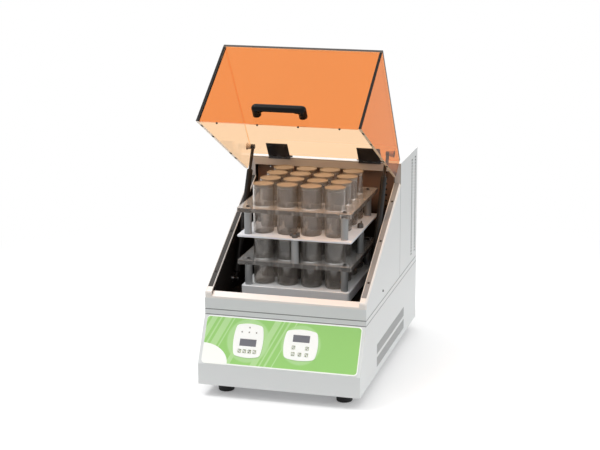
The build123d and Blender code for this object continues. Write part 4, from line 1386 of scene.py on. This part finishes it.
@dataclass
class TintedLid:
    """The lid's four acrylic sheets, modelled shut and then swung open."""

    finishes: Finishes
    polish: float = 0.4 * MM
    overcut: float = 5.0 * MM
    pad_low: tuple[float, float, float] = (-2.2 * MM, -6.0 * MM, -0.6 * MM)
    pad_high: tuple[float, float, float] = (2.2 * MM, 6.0 * MM, 0.1 * MM)
    pad_polish: float = 0.25 * MM
    pad_reaches: tuple[float, ...] = (38 * MM, 128 * MM, 278 * MM, 322 * MM)

    def foot_cut(self) -> tuple[Vector, Vector]:
        """The sloping plane of the free edges.

        Returns:
            A point on it and its downward normal.
        """
        points = shut_points(LidSheet.LEFT.value)
        low, high = corners(points)
        rear_z = min(point.z for point in points if point.y > high.y - MM)
        along = Vector((0, high.y - low.y, rear_z - low.z)).normalized()
        return low, Vector((0, along.z, -along.y))

    def sheet(self, kind: LidSheet) -> None:
        """Models one sheet and hangs it on the lid.

        Args:
            kind: Which sheet.
        """
        low, high = shut_box(kind.value)
        standing = kind is not LidSheet.TOP
        if standing:
            low.z -= self.overcut
        part = Part.block(kind.value + "_sheet", low, high)
        if standing:
            part.cut(*self.foot_cut())
        part.soften(self.polish)
        # painted shade: darker amber copies for the front and right sheets
        painted_shade_tints = {
            LidSheet.FRONT: self.finishes.deep_amber, LidSheet.RIGHT: self.finishes.right_amber_painted_shade
        }
        tint = painted_shade_tints.get(kind, self.finishes.slots["lid_amber"])
        part.dress(tint, *self.finishes.edges)
        # painted shade on the sheets' end faces, painted light on the side sheets' lower edges
        if kind is LidSheet.TOP:
            part.paint(
                lambda face: face.normal.y < -FACING or face.normal.x > FACING,
                SheetEdge.GREY_EDGE,
            )
        elif kind is not LidSheet.FRONT:
            part.paint(lambda face: face.normal.y < -FACING, SheetEdge.BLACK_EDGE)
            part.paint(lambda face: face.normal.z < -FACING, SheetEdge.PALE_EDGE)
        part.move(OPEN_LID)
        part.fit("lid", "lid_amber", [kind.value])

    def pads(self) -> None:
        """Thin dark pads along the free edges of both side sheets."""
        point, normal = self.foot_cut()
        along = Vector((0, -normal.z, normal.y))
        axes = Matrix((Vector((1, 0, 0)), along, -normal)).transposed().to_4x4()
        places = []
        for kind in (LidSheet.LEFT, LidSheet.RIGHT):
            low, high = shut_box(kind.value)
            for reach in self.pad_reaches:
                spot = Vector(((low.x + high.x) / 2, point.y, point.z)) + along * reach
                places.append(OPEN_LID @ Matrix.Translation(spot) @ axes)
        pattern = Part.block("pad_pattern", self.pad_low, self.pad_high).soften(self.pad_polish)
        pattern.dress(self.finishes.slots["foot_rubber"]).smooth()
        pattern.spread("lid_edge_pads", places).fit("lid", "foot_rubber")

    def build(self) -> None:
        """Models the sheets and their pads."""
        for kind in LidSheet:
            self.sheet(kind)
        self.pads()


@dataclass
class BridgeHandle:
    """Glossy black bridge handle: a round bar between two bulging feet."""

    finishes: Finishes
    bar_radius: float = 8.2 * MM
    bar_stretch: float = 1.2
    bulb_radius: float = 10.3 * MM
    flare_radius: float = 9.2 * MM
    flare_inset: float = 13.0 * MM
    foot_radius: float = 10.0 * MM
    foot_flare: float = 1.08
    grain: float = 1.2 * MM
    melt_share: float = 0.6
    melt_steps: int = 8

    def build(self) -> None:
        """Models the handle lying on its feet, then stands it on the front sheet."""
        low, high = shut_box("lid_handle")
        height = high.y - low.y
        reach = (high.x - low.x) / 2 - self.bulb_radius
        middle = height - self.bulb_radius
        part = Part.drum("lid_handle_bridge", self.bar_radius, -reach, reach)
        lie = Matrix.Diagonal((1, self.bar_stretch, 1, 1)) @ turn(90, "Y")
        part.move(shift(0, 0, height - self.bar_radius) @ lie)
        lumps = []
        for way in (-1, 1):
            x = way * reach
            lumps.append(Part.ball("bulb", self.bulb_radius, (x, 0, middle)))
            inner = x - way * self.flare_inset
            lumps.append(Part.ball("flare", self.flare_radius, (inner, 0, middle)))
            foot = Part.drum("foot", self.foot_radius, 0, middle)
            foot.push(faces_down, (0, 0, 0), self.foot_flare)
            lumps.append(foot.move(shift(x, 0, 0)))
        part.join(lumps)
        part.modifier("REMESH", mode="VOXEL", voxel_size=self.grain)
        part.modifier("SMOOTH", factor=self.melt_share, iterations=self.melt_steps)
        part.smooth(60)
        part.move(OPEN_LID @ shift(0, high.y, (low.z + high.z) / 2) @ turn(90, "X"))
        part.dress(self.finishes.gloss_black)
        part.fit("lid", "black_plastic", ["lid_handle"])


# ---- small hardware ----------------------------------------------------------------------------
@dataclass(frozen=True)
class ScrewPattern:
    """A round-headed screw with a hexagon socket, modelled once and copied."""

    radius: float
    height: float
    sides: int = 24
    rounding: float = 0.45
    flat: float = 0.28
    socket: float = 0.12
    socket_depth: float = 0.5
    flat_area: float = 1.2

    def build(self) -> Part:
        """Models the screw, standing on the origin along Z.

        Returns:
            The pattern.
        """
        part = Part.drum("screw_pattern", self.radius, 0, self.height, self.sides)
        top, flat_area = self.height - TINY, self.flat_area * self.radius ** 2
        part.bevel_edges(
            lambda edge: all(v.co.z > top for v in edge.verts), self.height * self.rounding
        )
        part.inset(faces_up, self.radius * self.flat)
        part.inset(
            lambda face: faces_up(face) and face.calc_area() < flat_area,
            self.radius * self.socket, -self.height * self.socket_depth,
        )
        return part.smooth(35)


@dataclass
class Hardware:
    """Screws, thumb nuts, knobs, domes and pin ends."""

    finishes: Finishes
    casing_screw: ScrewPattern = ScrewPattern(3.1 * MM, 1.4 * MM)
    rack_screw: ScrewPattern = ScrewPattern(4.2 * MM, 2.4 * MM)
    leaf_screw: ScrewPattern = ScrewPattern(2.6 * MM, 1.0 * MM)
    back_screw: ScrewPattern = ScrewPattern(3.0 * MM, 1.4 * MM)
    rim_slope: float = 28.6
    rim_rows: tuple[float, ...] = (60.7 * MM, 187.7 * MM, 313.7 * MM)
    rim_inset: float = 9.0 * MM
    rim_sink: float = 0.7 * MM
    side_screw: tuple[float, float] = (-83.6 * MM, 223.8 * MM)
    post_inset: float = 22.0 * MM
    leaf_middle: float = 28.5 * MM
    leaf_row: float = 14.0 * MM
    leaf_thickness: float = 1.6 * MM
    leaf_steps: tuple[float, ...] = (-20.0 * MM, 0.0, 20.0 * MM)
    back_insets: tuple[float, float] = (12.0 * MM, 14.0 * MM)
    nut_radius: float = 7.5 * MM
    nut_height: float = 9.0 * MM
    nut_inset: float = 12.0 * MM
    wing_span: tuple[float, float] = (4.0 * MM, 13.0 * MM)
    wing_half: float = 1.6 * MM
    wing_foot: float = 2.5 * MM
    wing_tip: tuple[float, float, float] = (1.5 * MM, 5.0 * MM, 0.75)
    wing_polish: float = 1.1 * MM
    nut_cap: tuple[float, float] = (2.0 * MM, 0.7)
    nut_polish: float = 0.8 * MM
    dome_radius: float = 2.4 * MM
    dome_count: int = 4
    dome_drop: float = 0.4 * MM
    knob_radius: float = 7.0 * MM
    knob_gaps: tuple[float, float] = (1.5 * MM, 0.5 * MM)
    knob_polish: float = 1.2 * MM
    pin_radius: float = 2.4 * MM
    pin_length: float = 6.0 * MM
    pin_polish: float = 0.6 * MM
    leaf_width: float = 57.0 * MM

    def hang(self, pattern: Part, name: str, places: Iterable[Matrix], body: str, slot: str,
             nodes: Sequence[str] = ()) -> None:
        """Copies a pattern to its places as one piece.

        Args:
            pattern: What is copied.
            name: The piece's name.
            places: Where the copies go.
            body: The body that it rides on.
            slot: The record's slot of its finish.
            nodes: CAD nodes that it stands for.
        """
        pattern.dress(self.finishes.slots[slot]).spread(name, places).fit(body, slot, nodes)

    def rim_height(self, y: float) -> float:
        """Height of the rim's sloping top at depth y."""
        _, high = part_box("rim_frame")
        return high.z + math.tan(math.radians(self.rim_slope)) * (y - high.y)

    def casing_screws(self) -> None:
        """Screws along the rim's sides and one low on each side."""
        places = []
        low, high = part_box("rim_frame")
        for side in (-1, 1):
            for distance in self.rim_rows:
                y = low.y + distance
                seat = shift(side * (high.x - self.rim_inset), y, self.rim_height(y))
                places.append(seat @ turn(self.rim_slope, "X") @ shift(0, 0, -self.rim_sink))
            places.append(shift(side * high.x, *self.side_screw) @ turn(side * 90, "Y"))
        self.hang(self.casing_screw.build(), "casing_screw_set", places, "root", "screw_black",
                  ["casing_screws"])

    def rack_screws(self) -> None:
        """Button screws over the corner posts of both clear plates."""
        places = []
        for node in ("lower_rack_plate", "upper_rack_plate"):
            low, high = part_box(node)
            for x in (low.x + self.post_inset, high.x - self.post_inset):
                for y in (low.y + self.post_inset, high.y - self.post_inset):
                    places.append(shift(x, y, high.z))
        self.hang(self.rack_screw.build(), "rack_plate_screws", places, "platform", "screw_black")

    def hinge_screws(self) -> None:
        """Three screws on each lid leaf."""
        low, high = shut_box("lid_hinge_leaves")
        middle, y = high.x - self.leaf_middle, low.y + self.leaf_row
        z = shut_box("lid_top")[0].z - self.leaf_thickness
        places = [
            OPEN_LID @ shift(side * middle + step, y, z) @ turn(180, "X")
            for side in (-1, 1) for step in self.leaf_steps
        ]
        self.hang(self.leaf_screw.build(), "lid_leaf_screws", places, "lid", "screw_black")

    def cover_screws(self) -> None:
        """Screws round the back of the rear cover."""
        low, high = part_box("rear_cover")
        across, up = self.back_insets
        middle = (low.z + high.z) / 2
        places = [
            shift(x, high.y, z) @ turn(-90, "X")
            for x in (low.x + across, 0, high.x - across)
            for z in (low.z + up, middle, high.z - up) if x or z != middle
        ]
        self.hang(self.back_screw.build(), "back_screws", places, "root", "screw_black")

    def wing(self, way: int) -> Part:
        """One wing of a thumb nut.

        Args:
            way: The side that it is on, -1 or 1.

        Returns:
            The wing.
        """
        near, far = sorted(way * reach for reach in self.wing_span)
        part = Part.block("wing", (near, -self.wing_half, self.wing_foot),
                          (far, self.wing_half, self.nut_height))
        out, rise, taper = self.wing_tip
        part.push(faces_up, (way * out, 0, rise), taper)
        return part.soften(self.wing_polish, 3, 20)

    def thumb_nuts(self) -> None:
        """Winged nuts on the middle plate."""
        low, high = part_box("middle_plate")
        centre = (low + high) / 2
        reach = (high.x - low.x) / 2 - self.nut_inset
        rim, (rise, taper) = self.nut_height - 0.1 * MM, self.nut_cap
        pattern = Part.drum("nut_pattern", self.nut_radius, 0, self.nut_height, 16)
        pattern.push(faces_up, (0, 0, rise), taper)
        pattern.bevel_edges(
            lambda edge: all(v.co.z > rim for v in edge.verts), self.nut_polish, 2
        )
        pattern.join([self.wing(way) for way in (-1, 1)]).smooth()
        places = [shift(centre.x, centre.y + way * reach, high.z) for way in (-1, 1)]
        places += [
            shift(centre.x + way * reach, centre.y, high.z) @ turn(90, "Z") for way in (-1, 1)
        ]
        self.hang(pattern, "rack_thumb_nuts", places, "platform", "knob_grey", ["rack_knobs"])

    def edge_bumpers(self) -> None:
        """Small rubber domes under the front sheet's free edge."""
        low, high = shut_box("lid_bumpers")
        front_low, front_high = shut_box("lid_front")
        outer = high.x - (high.y - low.y) / 2
        y, z = (front_low.y + front_high.y) / 2, front_low.z - self.dome_drop
        places = [
            OPEN_LID @ shift(outer * (2 * step / (self.dome_count - 1) - 1), y, z)
            for step in range(self.dome_count)
        ]
        pattern = Part.ball("dome_pattern", self.dome_radius, (0, 0, 0)).smooth(60)
        self.hang(pattern, "lid_edge_bumpers", places, "lid", "foot_rubber", ["lid_bumpers"])

    def strut_knobs(self) -> None:
        """Round knobs beside the struts' upper ends."""
        low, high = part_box("strut_lid_brackets")
        inner = abs(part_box("left_strut_rod")[0].x) + self.knob_gaps[0]
        outer = shut_box("lid_right")[0].x - self.knob_gaps[1]
        pattern = Part.drum("strut_knob", self.knob_radius, inner, outer)
        pattern.soften(self.knob_polish, 3).smooth(50)
        seat = shift(0, (low.y + high.y) / 2, (low.z + high.z) / 2)
        places = [seat @ turn(side * 90, "Y") for side in (-1, 1)]
        self.hang(pattern, "strut_top_knobs", places, "lid", "bush_beige")

    def pin_ends(self) -> None:
        """Short pin ends at the right of each hinge."""
        low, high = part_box("hinge_pins")
        left_end = low.x + (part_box("lid_hinge_leaves")[1].x - high.x) + self.leaf_width
        pattern = Part.drum("pin_end", self.pin_radius, 0, self.pin_length, 24)
        pattern.soften(self.pin_polish).smooth(50)
        places = [
            shift(start, (low.y + high.y) / 2, (low.z + high.z) / 2) @ turn(90, "Y")
            for start in (high.x, left_end)
        ]
        self.hang(pattern, "hinge_pin_ends", places, "root", "hinge_black")

    def build(self) -> None:
        """Makes all of it."""
        self.casing_screws()
        self.rack_screws()
        self.hinge_screws()
        self.cover_screws()
        self.thumb_nuts()
        self.edge_bumpers()
        self.strut_knobs()
        self.pin_ends()


# ---- keys --------------------------------------------------------------------------------------
@dataclass
class KeySet:
    """Square keys with a grey outline round a white middle."""

    finishes: Finishes
    size: float = 8.0 * MM
    proud: float = 0.8 * MM
    depth: float = 2.3 * MM
    corner: float = 1.0 * MM
    polish: float = 0.25 * MM
    outline: float = 0.9 * MM
    step: tuple[float, float] = (0.15 * MM, 0.12 * MM)
    least_face: float = 20.0 * MM * MM
    slack: float = 0.02 * MM

    def pattern(self) -> Part:
        """One key, flat on the keypad's face.

        Returns:
            The pattern.
        """
        half = self.size / 2
        part = Part.block("key_pattern", (-half, -half, -self.depth), (half, half, self.proud))
        part.bevel_edges(
            lambda edge: abs(edge.verts[0].co.z - edge.verts[1].co.z) > MM, self.corner, 4
        )
        part.soften(self.polish, 2, 60)
        for margin, rise in ((self.outline, 0.0), self.step):
            part.inset(
                lambda face: faces_up(face) and face.calc_area() > self.least_face, margin, rise
            )
        part.dress(self.finishes.slots["key_grey"], self.finishes.key_face)
        edge, face_z = half - self.outline - self.slack, self.proud - self.slack / 2
        part.paint(
            lambda face: face.normal.z > FACING and face.center.z > face_z
            and max(abs(face.center.x), abs(face.center.y)) < edge, 1,
        )
        return part.smooth(30)

    def build(self) -> None:
        """Copies the key to the place of each CAD key."""
        pattern = self.pattern()
        for name in sorted(name for name in frame["nodes"] if "_key_" in name):
            low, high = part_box(name)
            centre = (low + high) / 2
            place = FASCIA.place(centre.x, FASCIA.slope_of(centre), KEYPAD_TOP)
            key = pattern.copy(name + "_cap", place)
            key.fit(body_of(name), "key_grey", [name])
        pattern.drop()


# ---- studio ------------------------------------------------------------------------------------
@dataclass(frozen=True)
class Lamp:
    """One soft area lamp, aimed at the machine."""

    name: str
    place: tuple[float, float, float]
    size: float
    power: float
    aim: tuple[float, float, float] = (0.0, 0.0, 0.35)

    def build(self) -> None:
        """Hangs the lamp."""
        light = bpy.data.lights.new(self.name, "AREA")
        light.shape, light.size, light.energy = "DISK", self.size, self.power
        made = bpy.data.objects.new(self.name, light)
        bpy.context.scene.collection.objects.link(made)
        made.location = self.place
        away = Vector(self.aim) - Vector(self.place)
        made.rotation_euler = away.to_track_quat("-Z", "Y").to_euler()


@dataclass
class Studio:
    """Camera, pale floor, white surroundings brighter from above, and two lamps."""

    azimuth: float = math.radians(15.647)
    elevation: float = math.radians(14.905)
    roll: float = math.radians(-0.330)
    distance: float = 4.0479
    target: tuple[float, float, float] = (-0.03342, 0.0, 0.35346)
    focal_px: float = 1608.9
    picture_px: float = 600.0
    sensor: float = 36.0
    clip_end: float = 100.0
    sky_heights: tuple[float, float] = (0.1, 0.9)
    ambient: tuple[float, float] = (0.06, 1.5)
    floor_reach: float = 2.6
    floor_fade: tuple[float, float] = (0.5, 1.5)
    floor_lift: float = 0.2
    floor_span: tuple[float, float] = (-20.0 * MM, -0.5 * MM)
    floor_sides: int = 96
    floor_colour: Colour = (0.78, 0.78, 0.78)
    floor_drift: tuple[float, float] = (0.5, 0.004)
    floor_roughness: float = 0.7
    lamps: tuple[Lamp, ...] = (
        Lamp("side_lamp", (4.4, 0.2, 1.3), 2.6, 42.0),
        Lamp("top_lamp", (-1.7, -0.9, 3.6), 1.4, 48.0),
    )

    def camera(self) -> None:
        """Puts the camera where the photo was taken from."""
        back = Vector((
            math.sin(self.azimuth) * math.cos(self.elevation),
            -math.cos(self.azimuth) * math.cos(self.elevation), math.sin(self.elevation),
        ))
        right = Vector((0, 0, 1)).cross(back).normalized()
        up = back.cross(right)
        turned_right = right * math.cos(self.roll) + up * math.sin(self.roll)
        turned_up = -right * math.sin(self.roll) + up * math.cos(self.roll)
        axes = Matrix((turned_right, turned_up, back)).transposed().to_4x4()
        lens = bpy.data.cameras.new("photo_camera")
        lens.sensor_width = self.sensor
        lens.lens = self.focal_px * self.sensor / self.picture_px
        lens.clip_end = self.clip_end
        made = bpy.data.objects.new("photo_camera", lens)
        bpy.context.scene.collection.objects.link(made)
        made.matrix_world = Matrix.Translation(Vector(self.target) + back * self.distance) @ axes
        bpy.context.scene.camera = made

    def world(self) -> None:
        """White to the eye and in reflections, dimmer as a light."""
        world = bpy.data.worlds.new("studio_world")
        bpy.context.scene.world = world
        world.use_nodes = True
        pen = Pen(world.node_tree)
        height = pen.split(pen.node("ShaderNodeTexCoord").outputs["Generated"])[2]
        soft = pen.range(height, *self.sky_heights, self.ambient)
        pen.fill(
            world.node_tree.nodes["Background"], Color=(1.0, 1.0, 1.0),
            Strength=pen.math("MAXIMUM", pen.white_rays(), soft),
        )

    def floor(self) -> None:
        """Pale round floor that fades into the white surroundings."""
        part = Part.drum("studio_floor", self.floor_reach, *self.floor_span, self.floor_sides)
        made, pen, shader, _ = new_material("floor_white")
        place = pen.place()
        scale, amount = self.floor_drift
        drift = pen.group(
            EFFECTS.drift, Place=place, Colour=self.floor_colour, Scale=scale, Amount=amount,
            Roughness=self.floor_roughness,
        ).outputs
        away = pen.range(pen.vector("LENGTH", place), *self.floor_fade)
        lift = pen.math("MULTIPLY_ADD", away, 1.0 - self.floor_lift, self.floor_lift)
        pen.fill(
            shader, Base_Color=pen.blend(away, drift["Colour"], (0.0, 0.0, 0.0)),
            Roughness=drift["Roughness"], Specular_IOR_Level=0.0,
            Emission_Color=(1.0, 1.0, 1.0), Emission_Strength=pen.every(pen.white_rays(), lift),
        )
        part.dress(made)

    def build(self) -> None:
        """Sets the whole studio up."""
        bpy.context.scene.view_settings.view_transform = "Standard"
        self.camera()
        self.world()
        self.floor()
        for lamp in self.lamps:
            lamp.build()


# ---- all of it ---------------------------------------------------------------------------------
def main() -> None:
    """Builds the studio, the finishes and every piece."""
    logging.basicConfig(level=logging.INFO, format="%(name)s: %(message)s")
    Part.clear()
    Studio().build()
    finishes = Finishes()
    finishes.dress_nodes()
    TintedLid(finishes).build()
    BridgeHandle(finishes).build()
    Hardware(finishes).build()
    KeySet(finishes).build()
    bpy.context.view_layer.update()


if __name__ == "__main__":
    main()
